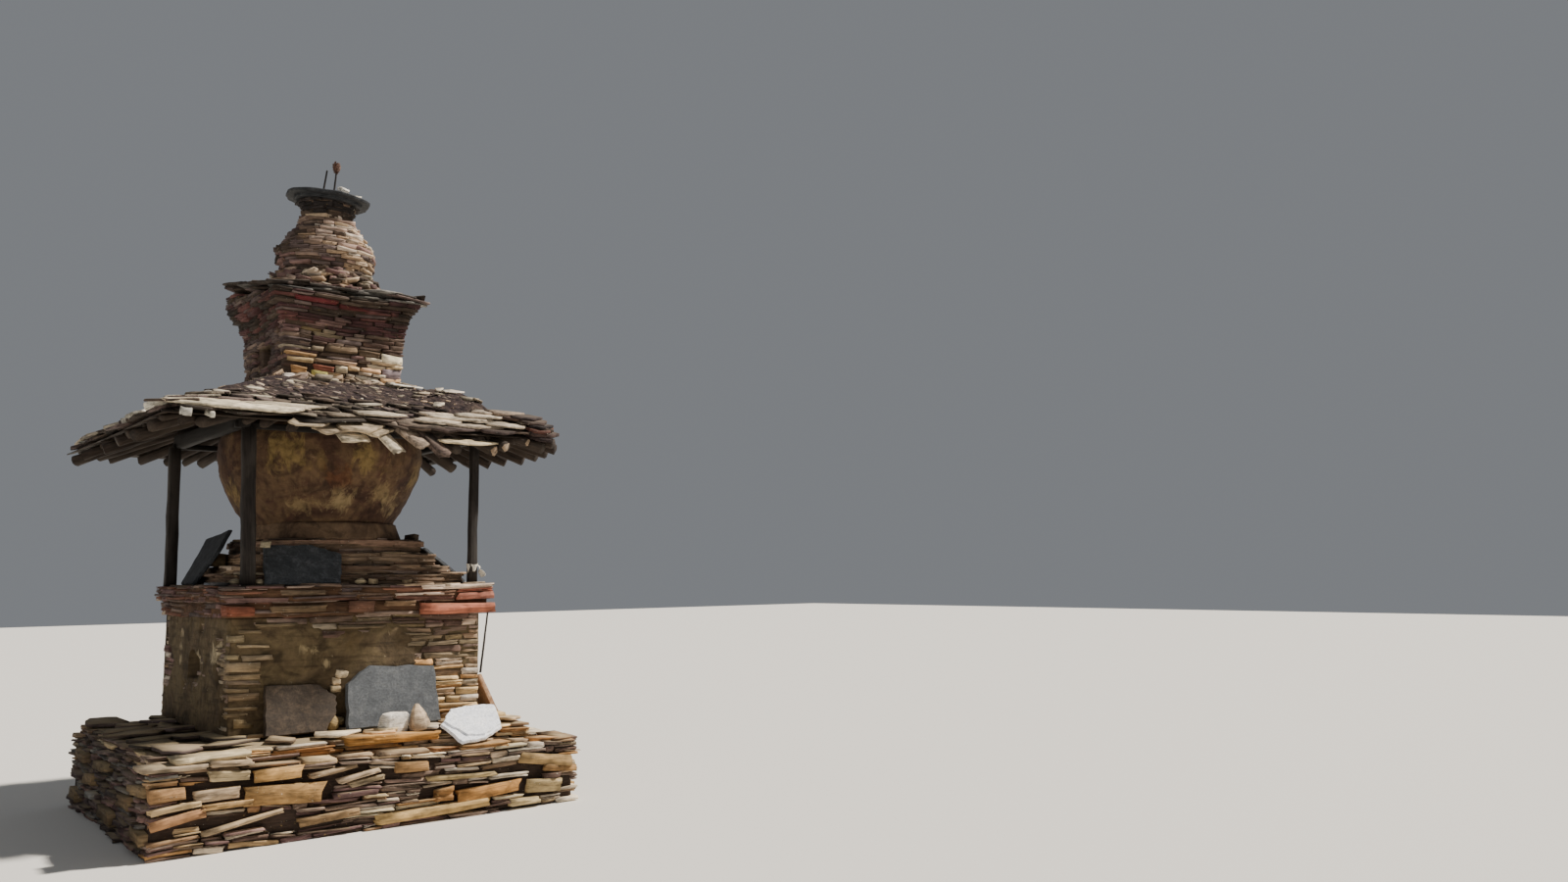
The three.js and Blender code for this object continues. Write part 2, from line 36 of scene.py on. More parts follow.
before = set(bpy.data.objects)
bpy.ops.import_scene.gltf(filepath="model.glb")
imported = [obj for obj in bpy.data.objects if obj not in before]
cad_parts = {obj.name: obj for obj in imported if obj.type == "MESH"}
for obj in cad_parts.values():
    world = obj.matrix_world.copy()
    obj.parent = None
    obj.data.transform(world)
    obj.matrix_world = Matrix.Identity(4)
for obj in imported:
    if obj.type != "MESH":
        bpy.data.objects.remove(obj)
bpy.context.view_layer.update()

PHOTO_WIDTH = 1600


def metres(table):
    """A table's whole numbers are thousandths; numbers with a point and words stay as they are."""
    if isinstance(table, tuple):
        return tuple(metres(row) for row in table)
    return table / 1000 if type(table) is int else table


def add_object(name, data):
    """Adds an object to the scene."""
    thing = bpy.data.objects.new(name, data)
    bpy.context.scene.collection.objects.link(thing)
    return thing


# Camera and light

def make_camera():
    """The camera stands to the left of the front, at eye height."""
    data = bpy.data.cameras.new("camera")
    camera = add_object("camera", data)
    bpy.context.scene.camera = camera
    focal_px = 1200
    data.sensor_width = 36
    data.lens = 36 * focal_px / PHOTO_WIDTH
    data.clip_end = 400
    yaw, pitch, roll = 0.6989, 0.1138, -0.01
    ahead = Vector((sin(yaw) * cos(pitch), cos(yaw) * cos(pitch), sin(pitch)))
    level = Vector((cos(yaw), -sin(yaw), 0))
    upright = level.cross(ahead)
    right = cos(roll) * level + sin(roll) * upright
    up = cos(roll) * upright - sin(roll) * level
    turned = Matrix((right, up, -ahead)).transposed().to_4x4()
    camera.matrix_world = Matrix.Translation((-3.309, -9.789, 1.72)) @ turned


def make_light():
    """One broad, high light from the front right, a weak one from the left, and a pale room."""
    world = bpy.data.worlds.new("room")
    bpy.context.scene.world = world
    world.use_nodes = True
    sky = world.node_tree.nodes["Background"]
    sky.inputs["Color"].default_value = (0.8, 0.84, 0.9, 1)
    sky.inputs["Strength"].default_value = 0.25
    for name, direction, strength, spread, tint in (
            ("main_light", (-0.8, 0.31, -1.0), 7.6, 0.07, (1.0, 0.94, 0.86)),
            ("left_light", (0.7, 0.62, -0.3), 0.3, 0.7, (0.95, 0.97, 1.0))):
        data = bpy.data.lights.new(name, "SUN")
        data.energy = strength
        data.angle = spread
        data.color = tint
        lamp = add_object(name, data)
        lamp.rotation_euler = Vector(direction).to_track_quat("-Z", "Y").to_euler()


make_camera()
make_light()


# Finishes

def linear(colour):
    """An sRGB hex colour as the linear values that the shaders take."""
    parts = [int(colour[i:i + 2], 16) / 255 for i in (1, 3, 5)]
    return tuple(v / 12.92 if v <= 0.04045 else ((v + 0.055) / 1.055) ** 2.4 for v in parts) + (1.0,)


def add_node(tree, kind, inputs=None, **settings):
    """Adds a shader node, sets its settings, and gives each input a value or another node's output."""
    new = tree.nodes.new("ShaderNode" + kind)
    for name, value in settings.items():
        setattr(new, name, value)
    for name, value in (inputs or {}).items():
        if isinstance(value, bpy.types.NodeSocket):
            tree.links.new(value, new.inputs[name])
        else:
            new.inputs[name].default_value = value
    return new


# Patches of plaster that the photograph shows
DOME_PATCHES = metres((
    ((-517, -590, 2735), 175, "#7f6b43", 750), ((68, -755, 2660), 150, "#7f6b43", 750),
    ((-300, -690, 2600), 110, "#6d5a38", 500), ((-108, -626, 2340), 110, "#94825e", 550),
    ((-348, -519, 2300), 100, "#8a7754", 500), ((356, -476, 2310), 110, "#94825e", 550),
    ((220, -620, 2420), 90, "#8a7754", 500), ((-660, -50, 2370), 120, "#7f6b43", 600),
    ((600, -420, 2560), 140, "#796641", 600), ((-160, -760, 2500), 140, "#5a3a26", 700)))
BASE_PATCHES = metres((
    ((-440, -930, 1222), 45, "#a3926f", 600), ((-360, -930, 1215), 40, "#a3926f", 600),
    ((-262, -930, 1110), 34, "#b09e7a", 600), ((-930, -80, 1165), 55, "#b8a98a", 800),
    ((-930, -540, 1200), 85, "#b8a98a", 800), ((-930, -640, 1230), 60, "#b8a98a", 800),
    ((-930, 370, 1120), 50, "#a89878", 700), ((-930, 380, 1220), 50, "#a89878", 700),
    ((-930, 370, 1320), 45, "#a89878", 700), ((-100, -930, 1330), 120, "#5d4c33", 600),
    ((-600, -930, 900), 130, "#5a4a33", 600)))


# Where a pattern is read: node, settings and socket
PLACES = {
    "laid": ("Attribute", {"attribute_name": "laid"}, "Vector"),
    "object": ("TexCoord", {}, "Object"),
    "uv": ("TexCoord", {}, "UV"),
}
# A pattern's size of feature in mm, detail, stretch, distortion and roughness
CLOUDS = (100, 4.0, (1, 1, 1), 0.0, 0.55)
# The waves of a wave texture across one metre at scale 1, and the mottling inside a patch
WAVE = 6.3
PATCH_TONE = ((0.35, 0.6), (0.6, 1.15))


def set_stops(ramp, stops):
    """Gives a colour ramp its stops, each a place and a hex colour or a grey value."""
    elements = ramp.color_ramp.elements
    while len(elements) < len(stops):
        elements.new(0.5)
    for element, (place, tone) in zip(elements, stops):
        element.position = place
        element.color = linear(tone) if isinstance(tone, str) else (tone, tone, tone, 1)
    return ramp.outputs["Color"]


def make_finish(name, patterns, coats, relief, roughness, own=False, patches=(), thread_mm=0):
    """Builds a finish from patterns of cloudy noise: where each is read and how it differs from CLOUDS.
    A coat tones the colour by stops, threads by a share, or covers it where a pattern runs from one
    value to another, up to a share, with a tint. Relief raises a pattern: its strength and height in
    metres. Patches are ragged, at places of their own: middle, radius, tint and share."""
    material = bpy.data.materials.new(name)
    material.use_nodes = True
    tree = material.node_tree
    tree.nodes.clear()
    fields = {}
    for key, (place, *values) in patterns.items():
        size_mm, detail, stretch, distortion, rough = (*values, *CLOUDS[len(values):])
        kind, settings, socket = PLACES[place]
        spot = add_node(tree, kind, **settings).outputs[socket]
        put = add_node(tree, "Mapping", {"Vector": spot, "Scale": stretch})
        fields[key] = add_node(tree, "TexNoise", {
            "Vector": put.outputs["Vector"], "Scale": 1000 / size_mm, "Detail": detail,
            "Distortion": distortion, "Roughness": rough}).outputs["Fac"]
    colour, normal = None, None
    if own:
        colour = add_node(tree, "Attribute", attribute_name="stone").outputs["Color"]
        facing = add_node(tree, "NewGeometry").outputs["Normal"]
        fields["up"] = add_node(tree, "SeparateXYZ", {"Vector": facing}).outputs["Z"]
    for number, (middle, radius, tint, share) in enumerate(patches):
        far = add_node(tree, "VectorMath", {0: add_node(tree, "TexCoord").outputs["Object"], 1: middle},
                       operation="DISTANCE")
        fields[number] = add_node(tree, "Math", {0: fields["wander"], 1: 5.0 * radius, 2: far.outputs["Value"]},
                                  operation="MULTIPLY_ADD").outputs["Value"]
        coats = (*coats, (number, 3.5 * radius, 2.9 * radius, share, tint))
    if thread_mm:
        weave, weft = [add_node(tree, "TexWave", {
            "Vector": add_node(tree, "TexCoord").outputs["UV"], "Scale": 1000 / thread_mm / WAVE,
            "Distortion": 0.4}, bands_direction=way).outputs["Color"] for way in "XY"]
        fields["threads"] = add_node(tree, "MixRGB", {
            "Fac": 1.0, "Color1": weave, "Color2": weft}, blend_type="MULTIPLY").outputs["Color"]
    for key, *values in coats:
        mix, share = "MULTIPLY", 1.0
        if len(values) > 1:
            start, full, most, tint = values
            mix, tone = "MIX", linear(tint)
            share = add_node(tree, "MapRange", {
                "Value": fields[key], "From Min": start, "From Max": full, "To Max": most}).outputs["Result"]
            if isinstance(key, int):
                ramp = add_node(tree, "ValToRGB", {"Fac": fields["mottle"]})
                tone = add_node(tree, "MixRGB", {
                    "Fac": 1.0, "Color1": tone, "Color2": set_stops(ramp, PATCH_TONE)},
                    blend_type="MULTIPLY").outputs["Color"]
        elif key == "threads":
            tone, share = fields[key], values[0]
        else:
            tone = set_stops(add_node(tree, "ValToRGB", {"Fac": fields[key]}), values[0])
        colour = tone if colour is None else add_node(tree, "MixRGB", {
            "Fac": share, "Color1": colour, "Color2": tone}, blend_type=mix).outputs["Color"]
    for key, strength, height in relief:
        bump = add_node(tree, "Bump", {
            "Height": fields[key], "Strength": strength, "Distance": height})
        if normal is not None:
            tree.links.new(normal, bump.inputs["Normal"])
        normal = bump.outputs["Normal"]
    surface = add_node(tree, "BsdfPrincipled", {
        "Base Color": colour, "Roughness": roughness, "Normal": normal, "IOR": 1.45,
        "Specular IOR Level": 0.3, "Sheen Weight": 0.2 if thread_mm else 0.0})
    add_node(tree, "OutputMaterial", {"Surface": surface.outputs["BSDF"]})
    return material


def stone_finish(name, bed_mm, patch_mm, relief, dust, dust_share, spots=(), low=0.62, cleft_mm=0):
    """Cleft field stone: a colour for each stone, thin beds seen on the edges, worn patches,
    dust on what faces up and small spots of lichen: tint, size, edge and share."""
    patterns = {"beds": ("laid", bed_mm, 5, (0.1, 0.1, 1.0), 0.3), "grain": ("laid", 7, 3),
                "patches": ("laid", patch_mm, 6, (1, 1, 1.6), 0.5), "stains": ("object", 380, 6, (1, 1, 1.4), 0.6)}
    coats = [("patches", ((0.3, low), (0.5, 0.95), (0.7, 1.22))),
             ("beds", ((0.32, 0.6), (0.52, 1.0), (0.7, 1.15))),
             ("stains", ((0.36, 0.58), (0.5, 0.92), (0.66, 1.1)))]
    if cleft_mm:
        patterns["steps"] = ("laid", cleft_mm, 6, (0.3, 1, 1), 0.8, 0.65)
        coats.insert(2, ("steps", ((0.38, 0.45), (0.5, 1.0), (0.66, 1.12))))
    for tint, size_mm, edge, share in spots:
        patterns[tint] = ("laid", size_mm, 3)
        coats.append((tint, edge, edge + 0.05, share, tint))
    coats.append(("up", 0.55, 0.95, dust_share, dust))
    return make_finish(name, patterns, coats, (
        ("beds", 0.8 * relief, 0.006), ("steps" if cleft_mm else "patches", 0.7 * relief, 0.012),
        ("grain", 0.45 * relief, 0.0016)), 0.9, own=True)


def plaster_finish(name, shades, stain, pale, streak_share=0.5, patches=(), streak_way=(1, 1, 0.16)):
    """Mud plaster: clouds of a few earth colours, rain streaks, dark stains, pale scrapes and patches."""
    return make_finish(name, {
        "clouds": ("object", 420, 7, (1, 1, 1.2), 0.7, 0.62), "mottle": ("object", 55, 5, (1, 1, 1), 0.4),
        "streaks": ("object", 60, 5, streak_way, 0.2), "blots": ("object", 260, 6, (1, 1, 1.3), 1.2),
        "scrapes": ("object", 120, 8, (1, 1, 0.8), 1.6, 0.7), "grit": ("object", 9, 4),
        "wander": ("object", 120, 8, (1, 1, 0.55), 1.4, 0.7),
    }, (
        ("clouds", [(0.33 + 0.34 * i / (len(shades) - 1), tint) for i, tint in enumerate(shades)]),
        ("mottle", ((0.3, 0.72), (0.52, 1.0), (0.72, 1.2))), ("streaks", 0.52, 0.66, streak_share, stain),
        ("blots", 0.54, 0.64, 0.55, stain), ("scrapes", 0.635, 0.68, 0.75, pale),
    ), (("mottle", 0.7, 0.012), ("grit", 0.5, 0.002)), 0.95, patches=patches)


def timber_finish(name, dark, light, silver, silver_share):
    """Weathered timber: grain along each piece, drying cracks and a silver-grey skin in patches."""
    return make_finish(name, {
        "grain": ("laid", 9, 5, (1, 1, 0.05), 0.3), "worn": ("laid", 160, 5, (1, 1, 0.4), 0.4),
        "cracks": ("laid", 22, 4, (1, 1, 0.035), 0.1),
    }, (("grain", ((0.35, dark), (0.62, light))), ("worn", 0.42, 0.6, silver_share, silver),
        ("cracks", 0.36, 0.3, 0.85, "#15110d")), (("grain", 0.6, 0.003), ("cracks", 0.6, 0.008)), 0.82)


def earth_finish(name):
    """Dry earth with grit: dark crumbs, paler dust and dry straw-coloured patches."""
    return make_finish(name, {
        "clods": ("object", 45, 7, (1, 1, 1), 0.3, 0.65), "dry": ("object", 300, 5), "crumbs": ("object", 14, 5),
    }, (("clods", ((0.36, "#181113"), (0.5, "#322727"), (0.64, "#54463f"))),
        ("dry", 0.5, 0.68, 0.22, "#74644f")), (("clods", 0.9, 0.035), ("crumbs", 0.7, 0.005)), 0.97)


def slate_finish(name, deep, mid, pale, cleft_mm=45):
    """Split slate: a nearly flat cleft face with long shallow steps, fine grit and pale scuffs."""
    return make_finish(name, {
        "broad": ("laid", 70, 8, (1, 1, 1), 0.4, 0.75), "speck": ("laid", 15, 4, (1, 1, 1), 0, 0.7),
        "cleft": ("laid", cleft_mm, 5, (0.35, 1, 1), 0.6),
    }, (("broad", ((0.3, deep), (0.5, mid), (0.72, pale))), ("speck", ((0.3, 0.66), (0.5, 1.0), (0.7, 1.3))),
        ("cleft", 0.62, 0.7, 0.25, pale)), (("cleft", 0.6, 0.004), ("speck", 0.35, 0.001)), 0.72)


def cloth_finish(name, tint, shade):
    """Plain-woven cotton, faded and dirty: crossing threads drawn coarse enough to show, and stains."""
    return make_finish(name, {"soil": ("uv", 40, 5)}, (("soil", ((0.35, shade), (0.6, tint))), ("threads", 0.25)),
                       (("threads", 0.3, 0.0006),), 0.95, thread_mm=1.2)


LICHEN = (("#a98f5a", 26, 0.68, 0.45), ("#c9c4b4", 18, 0.68, 0.5))
FINISH = {
    "ledge": stone_finish("ledge_field_stone", 12, 120, 1.1, "#cdb88f", 0.4, spots=LICHEN, low=0.5),
    "wall": stone_finish("thin_brown_field_stone", 9, 120, 1.0, "#a8987c", 0.3, spots=LICHEN[1:]),
    "head": stone_finish("thin_grey_brown_field_stone", 8, 120, 1.0, "#a39377", 0.3, spots=LICHEN),
    "roof_slate": stone_finish("weathered_roof_slate", 7, 90, 1.1, "#cbbda4", 0.08, LICHEN[1:], 0.5, 38),
    "chips": stone_finish("broken_slate_chips", 6, 60, 0.9, "#bfb39b", 0.2, low=0.45),
    # Its dark olive shades are partly painted shade from the roof.
    "base_plaster": plaster_finish("olive_mud_plaster", ("#423727", "#574936", "#65573f", "#4c3f2e"),
                                   "#2c2319", "#93856a", streak_share=0.55, patches=BASE_PATCHES,
                                   streak_way=(0.14, 0.14, 1.5)),
    # Its dark shades are partly painted shade from the roof above.
    "dome_plaster": plaster_finish("yellow_brown_mud_plaster", ("#33241e", "#463227", "#5f4b37", "#493228"),
                                   "#261a16", "#7c6952", patches=DOME_PATCHES),
    "foot_plaster": plaster_finish("dark_foot_plaster", ("#43352b", "#564537", "#6d5945", "#524034"),
                                   "#2a211a", "#75634c", streak_share=0.12),
    "earth": earth_finish("dry_roof_earth"),
    "slate": slate_finish("blue_grey_cleft_slate", "#414447", "#515457", "#666869", 22),
    "pale_slab": slate_finish("pale_cleft_slate", "#d3d6dd", "#e9ebf0", "#f8f7f5"),
    # The dark shades are partly painted shade, where the slab lies in the roof's shadow.
    "brown_slab": slate_finish("brown_cleft_schist", "#2c2520", "#3e352c", "#5b4d3f", 60),
    "cream_slab": slate_finish("cream_schist", "#8f6a50", "#a98567", "#c4a585", 60),
    # Near-black: dark slate darkened further as painted shade, for the disc's underside and the slab leaning in shade
    # on the left.
    "black_slate": slate_finish("black_cleft_slate", "#1d1f22", "#292b2e", "#434548"),
    "dark_slate": slate_finish("dark_cleft_slate", "#34373a", "#434649", "#65676a"),
    "post": timber_finish("hewn_dark_timber", "#161210", "#282320", "#4a4540", 0.4),
    # The beams' near-black is partly dark wood and partly painted shade under the roof.
    "beam": timber_finish("smoked_beams", "#0a0807", "#15110e", "#221d19", 0.2),
    # The poles are darkened partly as painted shade under the eaves.
    "pole": timber_finish("barked_grey_poles", "#19130f", "#30261f", "#544a40", 0.32),
    "cut_wood": timber_finish("cut_pole_ends", "#5f4d3b", "#86705a", "#a08d76", 0.5),
    "brown_cloth": cloth_finish("faded_brown_cotton", "#6e4f42", "#4a362e"),
    "white_cloth": cloth_finish("dirty_white_cotton", "#e6e1d6", "#b9ae9c"),
}

# Colours of single stones, by where they lie. The lit, warm and glow colours are painted sunlight for stones that
# face the light; the shade colours, and the dark ones where given to faces away from the light, are painted shade.
STONES = {
    "brown": "#847063 #917c6d #715e51 #9a8577 #796557 #644f45 #a08b7d",
    "olive": "#97876e #a29179 #8b7960 #ad9e88 #847254",
    "purple": "#6e5450 #7e635d #5d4845 #8a6e67 #725855",
    "red": "#9b5b44 #8b4d3a #a5664c #7c4538 #92604b",
    "dull_red": "#7f5746 #714b3c #895f4c #6d4c40",
    "cream": "#cab69e #bda68d #d6c7b5 #b49a7e #e0d3c7",
    "tan": "#b09579 #a3886d #c1a88b #977e65 #cab49c",
    "orange": "#b98552 #ad7a4a #c59462 #a3724a",
    "ledge": "#b69c77 #a98c66 #c8b088 #99795a #8b7056 #d5c5a3 #b38858 #7f6a56 #8d7468 #6f5a4d",
    "pale": "#d6c8b2 #c9b8a0 #e0d3c2 #baa790",
    "shade": "#5d4f4c #6a5b56 #514540 #766660",
    "slate": "#a89c88 #bcb09b #8f8473 #7c7162 #675c50 #cbbfaa",
    "grey": "#6f6b66 #7e7a73 #5f5c59 #8c8881",
    "mud": "#54453a",
    "red_mud": "#59412f",
    "deep": "#382c25",
    "dark": "#4a3f37 #3e352e #574a40",
    "rose": "#dcc8b4 #cdb7a5 #e4d3c0 #bda290 #a98f80",
    "glow": "#efdcc2 #e2cbae #f3e4cf #d2b797",
    # Near-black: painted shadow of the spire's disc on the neck below it.
    "soot": "#2b2625 #332d2b #24201f",
    "plum": "#5f4140 #6b4743 #543a3a #4a3534",
    "step_mud": "#695746",
    "pink_mud": "#907360 #876a58 #987b67",
    "step": "#7a6553 #836d59 #725c4c #88735f #79614f #917b65",
    "warm": "#e8c795 #d9b07c #e0bd8c #c99a66 #efd6ab",
    "lit": "#f6e3c4 #efd9b2 #e6c79c #dcb385 #f6ead4 #e2c39b",
}


# Stones and timbers that are modelled once

def open_piece(kind="VERT", action="SELECT"):
    """Opens a piece for modelling, with all or none of it selected."""
    bpy.ops.object.mode_set(mode="EDIT")
    bpy.ops.mesh.select_mode(type=kind)
    bpy.ops.mesh.select_all(action=action)


def close_piece():
    bpy.ops.object.mode_set(mode="OBJECT")


def start_disc(sides, radius=0.5):
    """Starts a piece from a flat disc with so many sides."""
    bpy.ops.mesh.primitive_circle_add(vertices=sides, radius=radius, fill_type="NGON")
    return bpy.context.object


def draw_out(way, size=None):
    """Extrudes what is selected by a way and then resizes it."""
    bpy.ops.mesh.extrude_region_move(TRANSFORM_OT_translate={"value": way})
    if size:
        bpy.ops.transform.resize(value=size)


def turn_outward():
    """Turns every face of the open piece outward and closes it."""
    bpy.ops.mesh.select_all(action="SELECT")
    bpy.ops.mesh.normals_make_consistent(inside=False)
    close_piece()


def roughen(piece, amounts, seed):
    """Moves every vertex by a little, as breaking does."""
    draw = Random(seed)
    for vertex in piece.data.vertices:
        vertex.co += Vector([draw.uniform(-a, a) for a in amounts])


def take_shape(piece):
    """Reads a finished stone, brought to a box of one metre, and clears it away."""
    mesh = piece.data
    points = np.array([vertex.co for vertex in mesh.vertices])
    low, high = points.min(0), points.max(0)
    shape = {
        "points": (points - (low + high) / 2) / (high - low),
        "corners": np.array([v for face in mesh.polygons for v in face.vertices]),
        "counts": np.array([len(face.vertices) for face in mesh.polygons]),
    }
    bpy.data.objects.remove(piece)
    bpy.data.meshes.remove(mesh)
    return shape


BED_CUTS = ((0.0, 0.52, 0.56, 1.0), (0.0, 0.34, 0.38, 0.66, 0.7, 1.0), (0.0, 0.3, 0.34, 1.0), (0.0, 0.5, 1.0))


def model_block(seed):
    """A split wall stone of one to three beds, each broken off a little differently at its rim."""
    draw = Random(seed)
    cuts = BED_CUTS[seed % len(BED_CUTS)]
    stone = start_disc(12)
    open_piece()
    for _ in cuts[1:]:
        draw_out((0, 0, 1))
    turn_outward()
    corners = [Vector((x + draw.uniform(-0.05, 0.03) * x * 2, y)) for x, y in
               ((-0.5, -0.5), (0.5, -0.5), (0.5, 0.5), (-0.5, 0.5))]
    rim = []
    for number in range(12):
        begin, end = corners[number // 3], corners[(number // 3 + 1) % 4]
        rim.append(begin.lerp(end, (number % 3) / 3 + (draw.uniform(-0.08, 0.08) if number % 3 else 0)))
    beds = [draw.uniform(0.9, 1.0) for _ in range(3)]
    shifts = [[Vector((draw.uniform(-0.022, 0.022), draw.uniform(-0.05, 0.05))) for _ in rim] for _ in range(3)]
    wedge, roll = draw.uniform(-0.13, 0.13), draw.uniform(-0.05, 0.05)
    for vertex in stone.data.vertices:
        number = round(atan2(vertex.co.y, vertex.co.x) / tau * 12) % 12
        level = round(vertex.co.z)
        bed = min(level // 2, 2)
        point = rim[number] * beds[bed] + shifts[bed][number]
        height = cuts[level] * (1 + wedge * point.x * 2 + roll * point.y * 2)
        vertex.co = (point.x + wedge * 0.3 * height, point.y, height + draw.uniform(-0.02, 0.02))
    return take_shape(stone)


def model_flag(seed, sides=5):
    """A flat slab with a broken, angular outline and an uneven edge of two beds."""
    stone = start_disc(sides * 3)
    draw = Random(seed)
    turns = sorted(tau * (i + draw.uniform(-0.26, 0.26)) / sides for i in range(sides))
    corners = [Vector((cos(a), sin(a))) * draw.uniform(0.44, 0.6) for a in turns]
    for number, vertex in enumerate(stone.data.vertices):
        start, end = corners[number // 3], corners[(number // 3 + 1) % sides]
        point = start.lerp(end, (number % 3) / 3) * (draw.uniform(0.94, 1.03) if number % 3 else 0.99)
        vertex.co = (point.x, point.y, 0)
    open_piece()
    draw_out((0, 0, 0.45), (1.03, 1.03, 1))
    draw_out((0, 0, 0.55), (0.96, 0.95, 1))
    turn_outward()
    roughen(stone, (0.01, 0.01, 0.07), seed + 1)
    return take_shape(stone)


def model_lump(seed):
    """A rounded field stone."""
    bpy.ops.mesh.primitive_ico_sphere_add(subdivisions=2, radius=0.5)
    stone = bpy.context.object
    roughen(stone, (0.05, 0.05, 0.05), seed)
    return take_shape(stone)


def model_shard(seed, sides, tops):
    """A broken stone: a many-sided foot drawn up to a smaller top, its edges worn."""
    shard = start_disc(sides)
    draw = Random(seed)
    for vertex in shard.data.vertices:
        vertex.co *= draw.uniform(0.82, 1.08)
    open_piece()
    for rise, size, across in tops:
        draw_out((across, 0, rise), (size, size * draw.uniform(0.9, 1.05), 1))
    bpy.ops.mesh.select_all(action="SELECT")
    bpy.ops.mesh.normals_make_consistent(inside=False)
    bpy.ops.mesh.bevel(offset=0.02, segments=1, affect="EDGES")
    close_piece()
    roughen(shard, (0.02, 0.02, 0.012), seed + 1)
    return take_shape(shard)


def model_pole(seed):
    """A barked pole along its upright axis, slightly bent, thinner at its top."""
    pole = start_disc(9)
    draw = Random(seed)
    rings, bend, taper = 6, 0.35, 0.8
    open_piece()
    for _ in range(rings):
        shift = (draw.uniform(-bend, bend) / rings, draw.uniform(-bend, bend) / rings, 1.0 / rings)
        size = taper ** (1 / rings) * draw.uniform(0.96, 1.04)
        draw_out(shift, (size, size, 1))
    turn_outward()
    roughen(pole, (0.03, 0.03, 0.004), seed + 1)
    return take_shape(pole)


def model_board(seed):
    """A split board: long, thin and slightly warped, lying along its upright axis."""
    board = start_disc(6)
    draw = Random(seed)
    open_piece()
    for _ in range(4):
        shift = (draw.uniform(-0.05, 0.05), draw.uniform(-0.12, 0.12), 0.25)
        draw_out(shift, (draw.uniform(0.93, 1.05), draw.uniform(0.9, 1.08), 1))
    turn_outward()
    roughen(board, (0.04, 0.06, 0.005), seed + 1)
    return take_shape(board)


BLOCKS = [model_block(seed) for seed in range(11, 25)]
FLAGS = [model_flag(seed, sides) for seed, sides in ((21, 5), (22, 6), (23, 4), (24, 5), (25, 4), (26, 6),
                                                    (27, 4), (28, 5))]
LUMPS = [model_lump(seed) for seed in (31, 32)]
SHARDS = [model_shard(34, 5, ((0.4, 1.0, 0.0), (0.45, 0.94, 0.02), (0.15, 0.86, 0.0))),
          model_shard(35, 6, ((0.3, 0.98, 0.0), (0.35, 0.8, -0.03), (0.3, 0.62, -0.04), (0.25, 0.38, -0.03)))]
POLES = [model_pole(seed) for seed in (41, 42, 43)]
BOARDS = [model_board(seed) for seed in (51, 52, 53)]


# Heaps: many copies of the modelled shapes, made one mesh

def new_heap(seed):
    return {"draw": Random(seed), "points": [], "corners": [], "counts": [], "laid": [], "stone": [],
            "size": 0}


def turned(turn, tip=0.0, roll=0.0, lie=Matrix.Identity(3)):
    """A turn about the upright axis, after a tip about the stone's length and a roll about its depth."""
    return np.array(lie @ Matrix.Rotation(turn, 3, "Z") @ Matrix.Rotation(tip, 3, "X")
                    @ Matrix.Rotation(roll, 3, "Y"))


def askew(draw, turn, spread, tip, roll):
    """A turning that is a little off, by the usual size of each error."""
    return turned(turn + draw.gauss(0, spread), draw.gauss(0, tip), draw.gauss(0, roll))


def lay(heap, shape, size, place, way, colour):
    """Lays one copy: its size along, across and up, its middle, its turning and its colour."""
    draw = heap["draw"]
    own = shape["points"] * np.array(size)
    heap["points"].append(own @ way.T + np.array(place))
    heap["corners"].append(shape["corners"] + heap["size"])
    heap["counts"].append(shape["counts"])
    heap["laid"].append(own + [draw.uniform(0, 9) for _ in range(3)])
    light = draw.uniform(0.86, 1.14)
    tint = [channel * light for channel in linear(colour)[:3]] + [1.0]
    heap["stone"].append(np.tile(tint, (len(own), 1)))
    heap["size"] += len(own)


def pick(heap, kinds):
    """Draws one of the kinds of stone colours, and one colour of that kind."""
    return heap["draw"].choice(STONES[heap["draw"].choice(kinds.split())].split())


def draw_turn(heap, spread):
    """Draws a small turn, as hands lay stones."""
    return heap["draw"].gauss(0, spread)


def settled(points, size):
    """Courses that have sunk and bulged a little over the years."""
    x, y, z = points.T
    waves = (np.sin(2.3 * x + 1.7 * y + 3.1 * z) + np.sin(5.3 * x - 4.1 * y + 2.0 * z + 1.3)
             + 0.6 * np.sin(11.0 * x + 9.0 * y - 4.0 * z))
    bulge = np.sin(3.1 * x + 2.7 * y + 7.0 * z + 0.7) + 0.6 * np.sin(8.0 * x - 7.0 * y + 12.0 * z)
    return points + size * np.stack((0.5 * bulge, 0.5 * bulge, 0.6 * waves), 1)


def keep_places(mesh, colours, places):
    """Keeps a stone's colour and its place before it was laid on each of its points."""
    for name, kind, field, values in (("stone", "FLOAT_COLOR", "color", colours),
                                      ("laid", "FLOAT_VECTOR", "vector", places)):
        mesh.attributes.new(name, kind, "POINT").data.foreach_set(field, values.astype(np.float32).ravel())


def make_piece(name, heap, finish, slot, *nodes, warp=None, sunk=0.0):
    """Makes one mesh of a heap, with each stone's colour and own place kept on its points."""
    points = settled(np.vstack(heap["points"]), sunk)
    if warp:
        points = warp(points)
    counts = np.concatenate(heap["counts"])
    mesh = bpy.data.meshes.new(name)
    mesh.vertices.add(len(points))
    mesh.vertices.foreach_set("co", points.astype(np.float32).ravel())
    corners = np.concatenate(heap["corners"])
    mesh.loops.add(len(corners))
    mesh.loops.foreach_set("vertex_index", corners.astype(np.int32))
    mesh.polygons.add(len(counts))
    starts = np.concatenate(([0], np.cumsum(counts)[:-1]))
    mesh.polygons.foreach_set("loop_start", starts.astype(np.int32))
    mesh.update(calc_edges=True)
    mesh.validate()
    keep_places(mesh, np.vstack(heap["stone"]), np.vstack(heap["laid"]))
    return keep_piece(add_object(name, mesh), finish, slot, *nodes)


